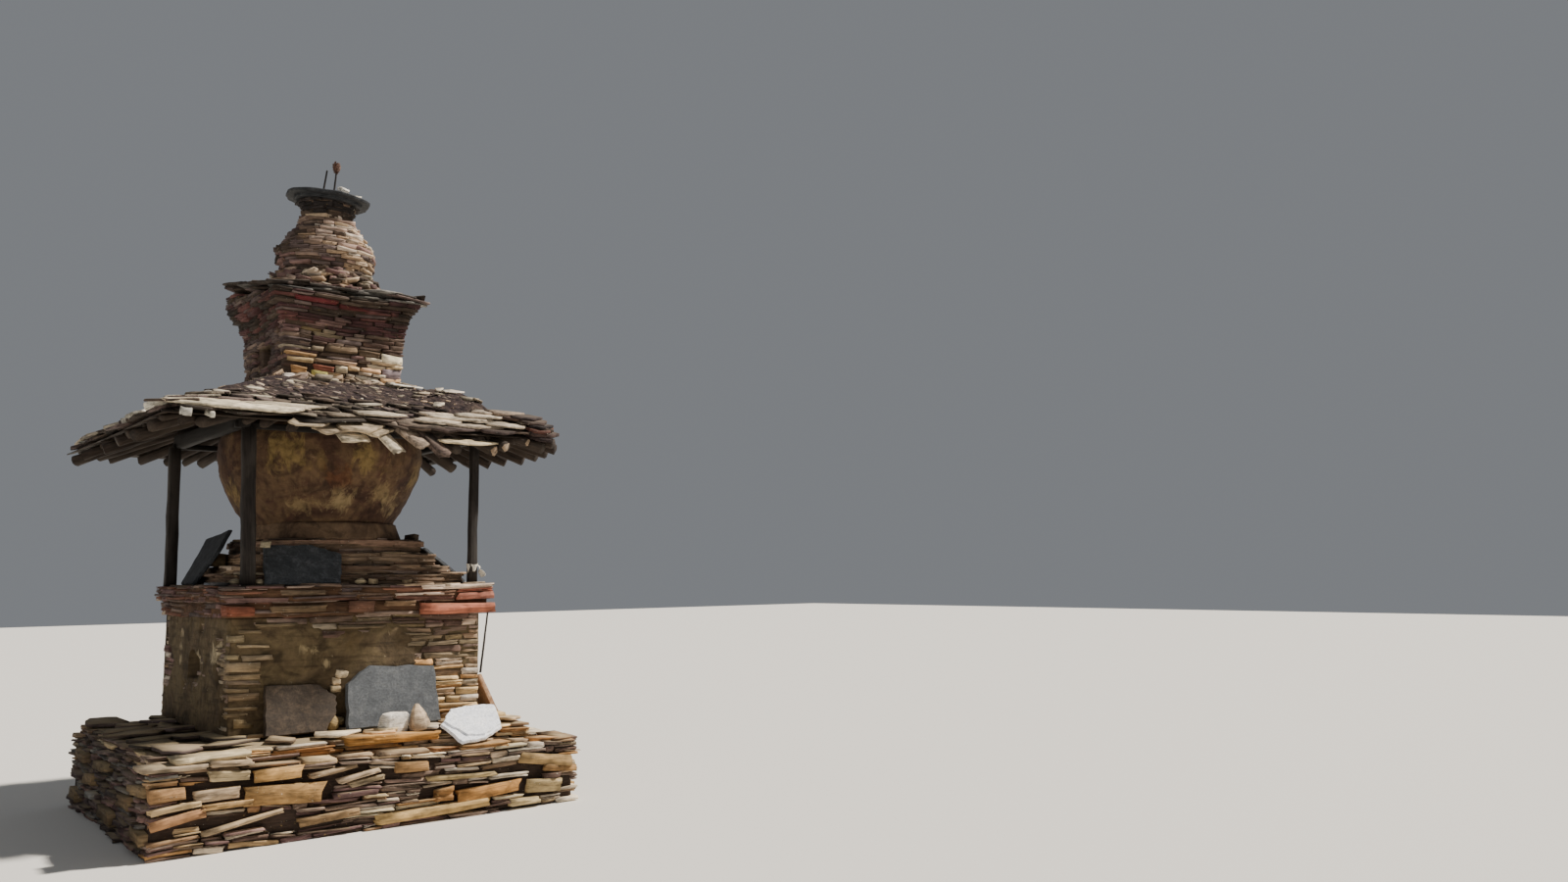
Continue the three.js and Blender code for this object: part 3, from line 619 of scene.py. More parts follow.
def keep_piece(piece, finish, slot, *nodes):
    """Gives a piece its finish, lets it ride on the body and hides the solids it stands for."""
    piece.data.materials.clear()
    piece.data.materials.append(FINISH[finish])
    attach(piece, "root")
    if nodes:
        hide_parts(*nodes)
    return piece


# Walls

def ring(left, right, front, back):
    """The four faces of a square tower: left corner, length and turn, seen from outside."""
    return {
        "front": ((left, front), right - left, 0.0),
        "right": ((right, front), back - front, pi / 2),
        "back": ((right, back), right - left, pi),
        "left": ((left, back), back - front, -pi / 2),
    }


def on_face(corner, turn, along, inward):
    """A point of a face, by its distance from the left corner and its depth behind the face."""
    return (corner[0] + along * cos(turn) - inward * sin(turn),
            corner[1] + along * sin(turn) + inward * cos(turn))


def lay_course(heap, side, face, span, z, height, look):
    """Lays one course of stones along a face, from span[0] to span[1]."""
    corner, _, turn = face
    draw = heap["draw"]
    along = span[0]
    while along < span[1] - 0.012:
        run = draw.uniform(*look["length"])
        if span[1] - along - run < 0.5 * look["length"][0]:
            run = span[1] - along
        middle = along + run / 2
        spot = on_face(corner, turn, middle, 0)
        leave, gap = look.get("leave"), look.get("gap")
        if leave and leave(side, *spot, z + height / 2) or gap and any(
                gap(side, *on_face(corner, turn, middle + share * run, 0), z + rise)
                for share in (-0.5, -0.25, 0, 0.25, 0.5) for rise in (0, height / 2, height)):
            along += run
            continue
        split = height > look["thin"] and draw.random() < look["split"]
        cuts = (0, draw.uniform(0.35, 0.65), 1) if split else (0, 1)
        for low, high in zip(cuts, cuts[1:]):
            rise = (high - low) * height
            out = max(-look["rough"], min(look["rough"], draw.gauss(0, look["rough"] * 0.55)))
            depth = look["depth"] * draw.uniform(0.85, 1.1)
            joint, tilt = look["joint"], look["tilt"]
            size = (max(run - joint * draw.uniform(0.5, 2.0), 0.02), depth,
                    max(rise - joint * draw.uniform(0.3, 1.4), 0.008))
            x, y = on_face(corner, turn, middle, depth / 2 - out)
            way = askew(draw, turn, 0.02, tilt, tilt)
            shape = draw.choice(BLOCKS)
            level = z + low * height + rise / 2
            lay(heap, shape, size, (x, y, level), way, pick(heap, look["kinds"](side, *spot, level)))
        along += run


def lay_tower(heap, faces_at, low, high, look):
    """Lays courses round a square tower; the sides take turns with the corner stones."""
    draw = heap["draw"]
    z, count = low, 0
    while z < high - 0.006:
        height = draw.uniform(*look["course"])
        if high - z - height < 0.6 * look["course"][0]:
            height = high - z
        faces = faces_at(z + height / 2)
        for side, face in faces.items():
            whole = (count % 2 == 0) == (side in ("front", "back"))
            span = (0, face[1]) if whole else (look["depth"] * 0.9, face[1] - look["depth"] * 0.9)
            lay_course(heap, side, face, span, z, height, look)
        z += height
        count += 1


def lay_fill(heap, area, inset, low, high, colour="mud"):
    """The mud and small stone inside a wall, which shows only in its joints."""
    left, right, front, back = area[0] + inset, area[1] - inset, area[2] + inset, area[3] - inset
    lay(heap, CUBE, (right - left, back - front, high - low),
        ((left + right) / 2, (front + back) / 2, (low + high) / 2), np.eye(3), STONES[colour])


def model_core():
    bpy.ops.mesh.primitive_cube_add(size=1)
    core = bpy.context.object
    open_piece()
    bpy.ops.mesh.bevel(offset=0.01, segments=1, affect="EDGES")
    close_piece()
    return take_shape(core)


CUBE = model_core()


def span_of(node):
    """A solid's middle and size."""
    low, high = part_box(node)
    return [(a + b) / 2 for a, b in zip(low, high)], [b - a for a, b in zip(low, high)]


def on_own_stone(rows, along, z, beside=0.02, above=0.006):
    """Whether a spot belongs to a stone that is laid by itself: left end, foot, length, height."""
    return any(left - beside < along < left + length + beside and foot - above < z < foot + high + above
               for left, foot, length, high, *_ in rows)


def ripple(seed, scale, *place):
    """Smooth unevenness between -1 and 1 at a place, the same at every run."""
    place = Vector([c * scale for c in place]).to_3d()
    return noise.noise(place + Vector((seed * 13.7, seed * 5.1, seed * 9.3)))


def smooth(low, high, value):
    share = min(1, max(0, (value - low) / (high - low)))
    return share * share * (3 - 2 * share)


def blended(table, place):
    """Reads a table of (place, value) pairs, with straight lines between them."""
    return float(np.interp(place, *zip(*table)))


def towards(direction, roll=0.0):
    """A turning that lays a shape's upright axis along a direction."""
    ahead = Vector(direction).normalized()
    side = Vector((0, 0, 1)).cross(ahead)
    side = Vector((1, 0, 0)) if side.length < 0.1 else side.normalized()
    return turned(roll, 0, 0, Matrix((side, ahead.cross(side), ahead)).transposed())


def lay_between(heap, shape, start, end, width, depth, colour, roll=0.0):
    """Lays a pole, board or timber from one point to another."""
    start, end = Vector(start), Vector(end)
    way = towards(end - start, roll)
    lay(heap, shape, (width, depth, (end - start).length), (start + end) / 2, way, colour)


# The ground ledge: a low dry-stone wall with a second course on top

PLINTH = (-1.54, 1.49, -1.55, 1.05)
PLINTH_TOP, PLINTH_FALL = 0.545, 0.063
LEDGE = (-1.5, 1.16, -1.38, 1.0)
LEDGE_FOOT, LEDGE_TOP = 0.47, 0.63


def plinth_share(x):
    return 1 - PLINTH_FALL / PLINTH_TOP * np.clip((x - PLINTH[0]) / (PLINTH[1] - PLINTH[0]), -0.05, 1.05)


def fall(points):
    """The ground ledge is higher at its left end: its courses close up towards the right."""
    out = points.copy()
    out[:, 2] *= plinth_share(out[:, 0])
    return out


# Large stones of the ledge on each side: distance from the left end, foot, length, height, tip in
# degrees and colour
PLINTH_STONES = {
    "front": metres((
        (0, 352, 215, 88, 2.0, "#b98f63"), (10, 286, 300, 42, 6.0, "#c3a880"), (15, 205, 330, 62, 9.0, "#a87d58"),
        (255, 330, 290, 78, 3.0, "#b8a083"), (300, 275, 330, 40, 2.0, "#ae8d60"), (340, 450, 265, 72, 1.0, "#cdb68e"),
        (615, 430, 340, 88, 2.0, "#c79c62"), (555, 262, 560, 142, -2.0, "#ba925e"),
        (310, 160, 520, 34, 12.0, "#b59c7b"), (980, 440, 330, 36, 8.0, "#a98f70"),
        (1160, 385, 300, 40, 12.0, "#bba488"), (1240, 340, 260, 40, 10.0, "#a39073"),
        (1560, 395, 250, 82, 0, "#b0885a"), (1780, 305, 560, 34, -2.0, "#b59d70"),
        (2020, 140, 540, 95, 2.0, "#bd8a50"), (1860, 150, 140, 110, 0, "#a37646"),
        (1430, 50, 880, 80, 3.0, "#bd9c66"), (2580, 110, 300, 110, -4.0, "#c3aa7c"),
        (2520, 330, 470, 95, -8.0, "#b09163"), (2730, 265, 290, 60, -6.0, "#a37e52"),
        (900, 110, 420, 60, 4.0, "#967a58"), (2440, 30, 260, 60, 0, "#baa47a"))),
    "right": metres((
        (100, 60, 420, 90, 1.0, "#b08c5a"), (700, 200, 360, 80, -3.0, "#bfa477"),
        (1300, 80, 500, 100, 2.0, "#a5845a"), (1950, 260, 400, 70, -2.0, "#b89a6c"),
        (300, 360, 460, 70, 3.0, "#c3ab7c"), (1050, 400, 380, 60, -2.0, "#9a7e58"),
        (1600, 380, 340, 80, 1.0, "#b48f60"), (2150, 80, 360, 90, 0, "#a88a62"))),
    "back": metres((
        (150, 100, 500, 90, 2.0, "#a88a62"), (850, 300, 420, 80, -2.0, "#b79b6e"),
        (1500, 80, 600, 100, 1.0, "#a07c52"), (2200, 280, 460, 80, 3.0, "#bda274"),
        (2600, 100, 340, 90, 0, "#997b54"), (350, 360, 400, 70, 1.0, "#c0a97c"),
        (1250, 400, 440, 60, -3.0, "#a68a60"), (1850, 200, 360, 70, 2.0, "#b39468"))),
    # The left side's stones are darker, partly as painted shade.
    "left": metres((
        (80, 80, 400, 80, 0, "#7d6a50"), (600, 260, 440, 80, 3.0, "#8a7456"), (1150, 70, 480, 90, -2.0, "#74624a"),
        (1750, 240, 400, 90, 2.0, "#806b50"), (2200, 100, 340, 80, -3.0, "#8f795a"),
        (250, 400, 380, 70, -2.0, "#86725a"), (1000, 400, 420, 60, 2.0, "#79684f"),
        (2100, 360, 400, 70, 3.0, "#8c7758"))),
}


def in_plinth_stone(side, x, y, z):
    corner = ring(*PLINTH)[side][0]
    along = abs(x - corner[0]) + abs(y - corner[1])
    return on_own_stone(PLINTH_STONES[side], along, z, 0.03, 0.01)


def plinth_kinds(side, x, y, z):
    # Painted light: the front's upper courses take lit colours as painted sunlight; the left side's shade colours are
    # painted shade.
    if side == "front" and z < 0.45:
        return "ledge brown ledge pale brown purple"
    if side == "front":
        return "ledge cream brown lit"
    if side == "left":
        return "shade grey purple shade"
    return "ledge brown tan olive"


# The top flags on the left side are dark as painted shade.
EDGE_KINDS = {"front": "ledge cream tan ledge orange", "left": "dark shade"}


def build_ledge():
    heap = new_heap(101)
    lay_fill(heap, PLINTH, 0.034, 0.0, PLINTH_TOP - 0.03, "deep")
    lay_tower(heap, lambda z: ring(*PLINTH), 0.0, PLINTH_TOP - 0.02, dict(
        course=(0.026, 0.06), length=(0.07, 0.38), depth=0.17, rough=0.029, thin=0.03,
        split=0.75, tilt=0.04, joint=0.005, kinds=plinth_kinds, leave=in_plinth_stone))
    for side, (corner, length, turn) in ring(*PLINTH).items():
        for start, foot, long, high, tip, colour in PLINTH_STONES[side]:
            x, y = on_face(corner, turn, start + long / 2, 0.075 - heap["draw"].uniform(0.008, 0.022))
            lay(heap, heap["draw"].choice(BLOCKS), (long, 0.17, high), (x, y, foot + high / 2),
                turned(turn + draw_turn(heap, 0.015), 0, radians(-tip)), colour)
    lay(heap, BLOCKS[2], (0.74, 0.2, 0.064), (0.06, LEDGE[2] + 0.04, LEDGE_TOP + 0.004),
        turned(0.01, 0.03), "#c9924f")
    for side, face in ring(*PLINTH).items():
        lay_edge_flags(heap, face, PLINTH_TOP - 0.028, (0.16, 0.42), (0.018, 0.044), 0.26,
                       EDGE_KINDS.get(side, "ledge brown tan ledge cream"))
    make_piece("plinth_stones", heap, "ledge", "ledge_stone", "plinth", warp=fall, sunk=0.007)

    heap = new_heap(102)
    lay_fill(heap, LEDGE, 0.05, LEDGE_FOOT, LEDGE_TOP - 0.022)
    # Painted light: the front course takes warm colours as painted sunlight, and the paving is lit cream at the front
    # right as painted sunlight and shade and dark elsewhere as painted shadow of the base.
    lay_tower(heap, lambda z: ring(*LEDGE), LEDGE_FOOT + 0.02, LEDGE_TOP - 0.02, dict(
        course=(0.02, 0.042), length=(0.12, 0.44), depth=0.16, rough=0.024, thin=0.03,
        split=0.5, tilt=0.025, joint=0.005, kinds=lambda side, x, y, z:
            "tan warm ledge orange cream" if side == "front" else "brown ledge shade"))
    lay_paving(heap, LEDGE, LEDGE_TOP - 0.012, 0.32, (0.22, 0.52), (0.02, 0.032),
               lambda x, y: "lit cream ledge" if x > -0.75 and y < 0 else "shade dark dark",
               (-0.86, 0.86, -0.86, 0.86))
    make_piece("ledge_stones", heap, "ledge", "ledge_stone", "ledge_course")

    heap = new_heap(103)
    for middle, size, tip, colour in metres((
            ((-1400, -1485, 557), (400, 210, 34), 1.0, "#b7a389"),
            ((-1165, -1470, 600), (490, 190, 38), -1.0, "#d8c49f"),
            ((-1060, -1490, 558), (280, 200, 40), 2.0, "#b39c80"))):
        lay(heap, heap["draw"].choice(BLOCKS), size, middle, turned(0.02, 0.02, radians(tip)), colour)
    make_piece("pale_ledge_flags", heap, "ledge", "pale_slate", "ledge_flag")


def lay_edge_flags(heap, face, z, lengths, heights, depth, kinds):
    """A course of flat stones along a wall's top, each a little out of line."""
    corner, length, turn = face
    draw = heap["draw"]
    along = -0.01
    while along < length - 0.05:
        run = min(draw.uniform(*lengths), length + 0.01 - along)
        high = draw.uniform(*heights)
        x, y = on_face(corner, turn, along + run / 2, depth / 2 - draw.uniform(-0.02, 0.025))
        lay(heap, draw.choice(BLOCKS), (run - 0.006, depth * draw.uniform(0.6, 1.1), high), (x, y, z + high / 2),
            askew(draw, turn, 0.06, 0.03, 0.02), pick(heap, kinds))
        along += run


def lay_paving(heap, area, z, spacing, sizes, heights, kinds, hole):
    """Irregular flags that cover a flat top outside a hole, lapping over each other."""
    left, right, front, back = area
    draw = heap["draw"]
    columns, rows = max(1, round((right - left) / spacing)), max(1, round((back - front) / spacing))
    for row in range(rows):
        for column in range(columns):
            x = left + (column + 0.5 + draw.uniform(-0.25, 0.25)) * (right - left) / columns
            y = front + (row + 0.5 + draw.uniform(-0.25, 0.25)) * (back - front) / rows
            if hole[0] < x < hole[1] and hole[2] < y < hole[3]:
                continue
            size = (draw.uniform(*sizes), draw.uniform(*sizes) * 0.8, draw.uniform(*heights))
            x = min(max(x, left + size[1] * 0.42), right - size[1] * 0.42)
            y = min(max(y, front + size[1] * 0.42), back - size[1] * 0.42)
            lay(heap, draw.choice(FLAGS), size, (x, y, z + size[2] / 2 + draw.uniform(0, 0.012)),
                askew(draw, draw.choice((0, pi / 2, pi)), 0.25, 0.025, 0.025), pick(heap, kinds(x, y)))


# The base: stone walls, plastered in their middles, with a small arched niche on the left

BASE_HALF, BASE_FOOT, BASE_TOP, BASE_TAPER = 0.941, 0.63, 1.456, 0.012
NICHE_Y, NICHE_WIDTH, NICHE_FOOT, NICHE_SPRING = 0.01, 0.21, 1.0, 1.1
# On each face: where the plaster starts and stops along it from its left corner, and how low it comes
PLASTERED = {"front": (-0.1, 1.33, 0.55), "right": (0.42, 1.62, 0.6), "back": (0.3, 1.52, 0.62),
             "left": (0.08, 1.84, 0.58)}


def base_ring(z):
    half = BASE_HALF - BASE_TAPER * (z - BASE_FOOT) / (BASE_TOP - BASE_FOOT)
    return ring(-half, half, -half, half)


def plaster_share(side, along, z):
    """How well the plaster covers a spot of the base: above 0 it hides the stones."""
    start, stop, low = PLASTERED[side]
    seed = len(side)
    edge = min(along - start, stop - along, (z - low) * 1.3)
    ragged = 0.075 * ripple(seed, 5, along, z) + 0.03 * ripple(seed + 1, 19, along, z * 1.6)
    bare = 0.1 + 0.3 * ripple(seed + 2, 2.6, along, z * 1.4)
    if side == "front":
        bare = min(bare + 0.05, 0.1)
        edge = min(edge, 0.26 + (along - 1.1) * -0.9 + (z - 1.15) * 0.9)
        edge = min(edge, stop - along + 0.16 * ripple(31, 4.5, along * 0.5, z) - 0.06 * (z > 1.2))
        edge = min(edge, 1.375 - z + 0.06 * ripple(32, 5, along, z) + 0.1 * smooth(0.7, 0.2, along))
    return min(edge, bare) + ragged


def in_niche(side, x, y, z):
    half = NICHE_WIDTH / 2
    across = abs(y - NICHE_Y)
    if side != "left" or across > half or z < NICHE_FOOT:
        return False
    return z < NICHE_SPRING + sqrt(half * half - across * across)


# Stones of the base's front left corner that stand in the plaster: left end, foot, length, height, colour
BASE_STONES = metres((
    (-950, 1290, 110, 50, "#8f8064"), (-895, 1250, 225, 22, "#bfa987"), (-860, 1160, 215, 40, "#a8957a"),
    (-952, 1172, 80, 34, "#9d8d6e"), (-952, 1084, 222, 68, "#a18d70"), (-950, 998, 228, 30, "#857461"),
    (-952, 1032, 234, 36, "#a08b6c"), (-950, 946, 150, 30, "#8d7b60"), (-936, 890, 206, 50, "#927d62"),
    (-946, 820, 210, 24, "#8a785d"), (-948, 780, 150, 22, "#917f63"), (-900, 700, 140, 62, "#97825f"),
    (-890, 1350, 160, 26, "#7f6f56"), (-780, 1392, 300, 26, "#85745a")))


def base_kinds(side, x, y, z):
    # Painted light: low stones at the front's right end take warm and lit colours as painted sunlight; the shade
    # colours at the front's left corner and on the left face are painted shade.
    if side == "front":
        if x < -0.66:
            return "olive brown shade"
        if z > 1.34:
            return "brown olive purple"
        if x > 0.3:
            return "warm lit warm tan warm" if z < 1.12 else "olive brown tan olive"
        return "brown olive"
    if side == "left":
        return "brown purple shade" if y > 0.5 else "brown olive"
    return "brown tan cream olive"


def build_base():
    heap = new_heap(111)

    def hidden(side, x, y, z):
        along = BASE_HALF + {"front": x, "right": y, "back": -x, "left": -y}[side]
        return plaster_share(side, along, z) > 0.07

    lay_tower(heap, base_ring, BASE_FOOT, BASE_TOP, dict(
        course=(0.026, 0.062), length=(0.12, 0.42), depth=0.15, rough=0.011, thin=0.042,
        split=0.45, tilt=0.014, joint=0.004, kinds=base_kinds, leave=hidden, gap=in_niche))
    for x, foot, length, high, colour in BASE_STONES:
        lay(heap, heap["draw"].choice(BLOCKS), (length, 0.1, high),
            (x + length / 2, -BASE_HALF + 0.034, foot + high / 2),
            turned(draw_turn(heap, 0.01), 0, draw_turn(heap, 0.02)), colour)
    make_piece("base_stones", heap, "wall", "wall_stone", "base_wall", sunk=0.003)

    for side, (corner, length, turn) in base_ring((BASE_FOOT + BASE_TOP) / 2).items():
        def plaster_point(u, v, behind):
            inset = 0.0 if side in ("front", "back") else 0.012
            along, z = inset + u * (length - 2 * inset), BASE_FOOT + v * (BASE_TOP - BASE_FOOT)
            share = plaster_share(side, along, z)
            inward = 0.02 - 0.028 * smooth(-0.05, 0.075, share)
            inward += 0.0045 * ripple(7, 5, along, z) + 0.0025 * ripple(8, 16, along * 0.35, z * 1.8)
            inward += BASE_TAPER * (z - (BASE_FOOT + BASE_TOP) / 2) / (BASE_TOP - BASE_FOOT)
            x, y = on_face(corner, turn, along, 0)
            if in_niche(side, x, y, z):
                inward = 0.16
            if behind:
                inward = 0.2
            x, y = on_face(corner, turn, min(max(along, inward), length - inward) if behind else along, inward)
            return (x, y, z)

        skin = model_relief(f"plaster_{side}", 150, 66, plaster_point)
        keep_piece(skin, "base_plaster", "mud_plaster", "base_wall")


def model_relief(name, across, up, point_at):
    """A thick skin with an uneven outer face: a fine grid whose rim is drawn inwards and closed."""
    bpy.ops.mesh.primitive_grid_add(x_subdivisions=across, y_subdivisions=up, size=1)
    piece = bpy.context.object
    piece.name = name
    open_piece("EDGE", "DESELECT")
    bpy.ops.mesh.select_non_manifold()
    draw_out((0, 0, -1))
    bpy.ops.mesh.edge_face_add()
    turn_outward()
    for vertex in piece.data.vertices:
        vertex.co = point_at(vertex.co.x + 0.5, vertex.co.y + 0.5, vertex.co.z < -0.5)
    bpy.ops.object.shade_smooth()
    return piece


# The cornice and the stepped top of the base

CORNICE = (-1.01, 1.035, -1.0, 0.968)
CORNICE_INSET, CORNICE_SPLIT, CORNICE_TOP = 0.03, 1.57, 1.683
STEP_STONE = dict(course=(0.02, 0.044), length=(0.14, 0.5), depth=0.16, rough=0.01, thin=0.034,
              split=0.4, tilt=0.008, joint=0.003)
# Large stones of the cornice's front: left end, foot, length, height, how far out, colour
# The pale top stone at the right end is partly painted sunlight.
CORNICE_STONES = metres((
    (398, 1646, 640, 36, 12, "#f0d6bd"), (712, 1560, 322, 56, 12, "#b0715d"), (417, 1452, 640, 92, 14, "#b06c54"),
    (705, 1622, 310, 22, 12, "#a5604a"), (430, 1600, 270, 36, 4, "#8c6a55"), (-985, 1470, 190, 78, 6, "#7c4a38"),
    (-133, 1474, 206, 90, 2, "#6f5040"), (-640, 1612, 330, 40, 4, "#85705a"), (-700, 1490, 420, 50, 6, "#7b664e"),
    (140, 1520, 240, 44, 6, "#8a6f55")))


def cornice_kinds(side, x, y, z):
    # Painted light: at the front's right end, where the light falls, paler rose, tan and cream colours are painted
    # sunlight; the shade colours elsewhere on the front and on the left side are painted shade.
    if side == "front":
        if x > 0.4:
            return "rose dull_red tan dull_red" if z > CORNICE_SPLIT else "dull_red brown cream purple"
        if z > CORNICE_SPLIT and -0.9 < x < -0.5:
            return "dull_red brown purple"
        return "brown shade dull_red brown purple"
    if side == "left":
        return "purple dull_red shade brown"
    return "brown red tan dull_red cream" if z > CORNICE_SPLIT else "brown tan purple"


def in_cornice_stone(side, x, y, z):
    return side == "front" and on_own_stone(CORNICE_STONES, x, z)


def build_cornice():
    left, right, front, back = CORNICE
    for name, node, slot, foot, top, inset, seed in (
            ("cornice_lower_stones", "cornice_lower", "wall_stone", BASE_TOP, CORNICE_SPLIT, CORNICE_INSET, 121),
            ("cornice_upper_stones", "cornice_upper", "red_stone", CORNICE_SPLIT, CORNICE_TOP, 0.0, 122)):
        heap = new_heap(seed)
        area = (left + inset, right - inset, front + inset, back - inset)
        lay_fill(heap, area, 0.016, foot, top - 0.012, "red_mud")
        lay_tower(heap, lambda z: ring(*area), foot - 0.005, top - 0.001, dict(
            STEP_STONE, kinds=cornice_kinds, leave=in_cornice_stone, length=(0.14, 0.56), rough=0.013))
        for x, low, length, high, out, colour in CORNICE_STONES:
            if foot - 0.05 <= low < top - 0.03:
                lay(heap, heap["draw"].choice(BLOCKS), (length, 0.16, high),
                    (x + length / 2, front + 0.08 - out, low + high / 2), turned(0, 0, 0.006), colour)
        if node == "cornice_upper":
            # The top's flags are pale at the front right as painted sunlight and dark elsewhere as painted shade.
            lay_paving(heap, area, top - 0.02, 0.26, (0.2, 0.42), (0.016, 0.024),
                       lambda x, y: "cream tan pale" if x > 0.35 and y < 0 else "dark brown purple",
                       (-0.8, 0.8, -0.8, 0.8))
        make_piece(name, heap, "wall", slot, node, sunk=0.006)


def step_kinds(side, x, y, z):
    return "step step tan" if side == "left" else "step step brown"


def build_steps():
    """Four low stone steps from the cornice up to the dome's foot; the highest has a mud rim."""
    for number, (node, half, foot, top) in enumerate((
            ("lower_step", 0.835, CORNICE_TOP, 1.765), ("second_step", 0.757, 1.765, 1.833),
            ("third_step", 0.672, 1.833, 1.93), ("upper_step", 0.582, 1.93, 2.035))):
        heap = new_heap(131 + number)
        area = (-half, half, -half, half)
        lay_fill(heap, area, 0.008, foot, top - 0.008, "step_mud")
        band = 0.046 if node == "upper_step" else 0
        lay_tower(heap, lambda z: ring(*area), foot, top - 0.006 - band,
                  dict(STEP_STONE, kinds=step_kinds, rough=0.007, joint=0.002))
        if band:
            for turn in range(4):
                for start, stop in ((-0.59, -0.05), (-0.07, 0.38), (0.36, 0.59)):
                    way = turned(turn * pi / 2 + draw_turn(heap, 0.006), 0, draw_turn(heap, 0.012))
                    middle = way @ np.array(((start + stop) / 2, -half + 0.085, 0))
                    lay(heap, heap["draw"].choice(BLOCKS), (stop - start + 0.02, 0.19, band + 0.006),
                        (middle[0], middle[1], top - 0.006 - band / 2), way, pick(heap, "pink_mud"))
        lay_paving(heap, area, top - 0.016, 0.24, (0.16, 0.34), (0.012, 0.02),
                   lambda x, y: "brown dark olive tan", (-half + 0.2, half - 0.2) * 2)
        make_piece(f"{node}_stones", heap, "wall", "wall_stone", node, sunk=0.007)


# The dome, its foot and its plaster

DOME_MIDDLE = (-0.028, 0.024)
DOME_FOOT = (0.602, 2.035, 2.165)
DOME_SIDE = metres((
    (2150, 545), (2165, 555), (2262, 618), (2335, 662), (2447, 712), (2558, 762), (2693, 786), (2790, 782),
    (2880, 750), (2950, 680), (3000, 580), (3020, 500)))


def lay_round(heap, middle, side, low, high, look):
    """Lays courses round a round wall whose radius follows a profile."""
    draw = heap["draw"]
    z = low
    while z < high - 0.008:
        height = min(draw.uniform(*look["course"]), high - z)
        radius = blended(side, z + height / 2)
        angle = draw.uniform(0, 1)
        stop = angle + tau
        while angle < stop - 0.02:
            run = draw.uniform(*look["length"])
            step = min(2 * asin(min(run / 2 / radius, 0.9)), stop - angle)
            run = 2 * radius * sin(step / 2)
            out = max(-look["rough"], min(look["rough"] * 1.3, draw.gauss(0, look["rough"] * 0.7)))
            depth = min(look["depth"], radius * 0.7) * draw.uniform(0.85, 1.05)
            middle_angle = angle + step / 2
            reach = radius * cos(step / 2) ** 0.5 - depth / 2 + out
            place = (middle[0] + reach * cos(middle_angle), middle[1] + reach * sin(middle_angle),
                     z + height / 2)
            size = (max(run * 1.02 - 0.004, 0.02), depth, max(height - draw.uniform(0.001, 0.006), 0.008))
            way = askew(draw, middle_angle + pi / 2, 0.04, look["tilt"], look["tilt"])
            lay(heap, draw.choice(BLOCKS), size, place, way, pick(heap, look["kinds"](middle_angle, z)))
            angle += step
        z += height


def model_lathe(name, side, middle, steps):
    """A profile drawn upwards from one point on the axis and spun round it."""
    bpy.ops.mesh.primitive_circle_add(vertices=3, radius=0.001)
    piece = bpy.context.object
    piece.name = name
    points = [(0.0, side[0][0])] + [(radius, z) for z, radius in side] + [(0.0, side[-1][0])]
    open_piece()
    bpy.ops.mesh.merge(type="CENTER")
    close_piece()
    piece.data.vertices[0].co = (points[0][0], 0, points[0][1])
    open_piece()
    for (r0, z0), (r1, z1) in zip(points, points[1:]):
        draw_out((r1 - r0, 0, z1 - z0))
    bpy.ops.mesh.select_all(action="SELECT")
    bpy.ops.mesh.spin(steps=steps, angle=tau, center=(0, 0, 0), axis=(0, 0, 1))
    bpy.ops.mesh.select_all(action="SELECT")
    bpy.ops.mesh.remove_doubles(threshold=0.0006)
    bpy.ops.mesh.normals_make_consistent(inside=False)
    close_piece()
    for vertex in piece.data.vertices:
        vertex.co += Vector((middle[0], middle[1], 0))
    bpy.ops.object.shade_smooth()
    return piece


def build_dome():
    radius, low, high = DOME_FOOT
    side = ((low, radius - 0.004), (low + 0.02, radius - 0.008), (low + 0.07, radius - 0.03),
            (high - 0.02, radius - 0.044), (high, radius - 0.05), (high + 0.004, radius - 0.09))
    foot = model_lathe("dome_foot_plaster", side, (0, 0), 120)
    for vertex in foot.data.vertices:
        x, y, z = vertex.co
        out = Vector((x, y, 0))
        if out.length > 0.5:
            vertex.co += out.normalized() * (0.01 * ripple(2, 4, x, y, z) + 0.005 * ripple(2, 13, x, y, z * 2))
    keep_piece(foot, "foot_plaster", "dome_plaster", "dome_foot")

    levels = np.linspace(DOME_SIDE[0][0], DOME_SIDE[-1][0], 70)
    dome = model_lathe("dome_plaster", [(z, blended(DOME_SIDE, z)) for z in levels], DOME_MIDDLE, 150)
    for vertex in dome.data.vertices:
        x, y, z = vertex.co
        out = Vector((x - DOME_MIDDLE[0], y - DOME_MIDDLE[1], 0))
        if out.length < 0.3:
            continue
        angle = atan2(out.y, out.x)
        push = 0.011 * ripple(3, 2.2, x, y, z) + 0.006 * ripple(4, 6, x, y, z * 1.5)
        push += 0.0035 * ripple(5, 19, x, y, z * 1.3)
        push += 0.004 * ripple(6, 4, angle, z * 6)
        patch = ripple(9, 3.3, x, y, z)
        push -= 0.007 * smooth(0.16, 0.24, patch)
        vertex.co += out.normalized() * push
    keep_piece(dome, "dome_plaster", "dome_plaster", "dome")


def model_drum():
    drum = start_disc(48)
    open_piece()
    draw_out((0, 0, 1))
    turn_outward()
    return take_shape(drum)


DRUM = model_drum()


# Posts and beams

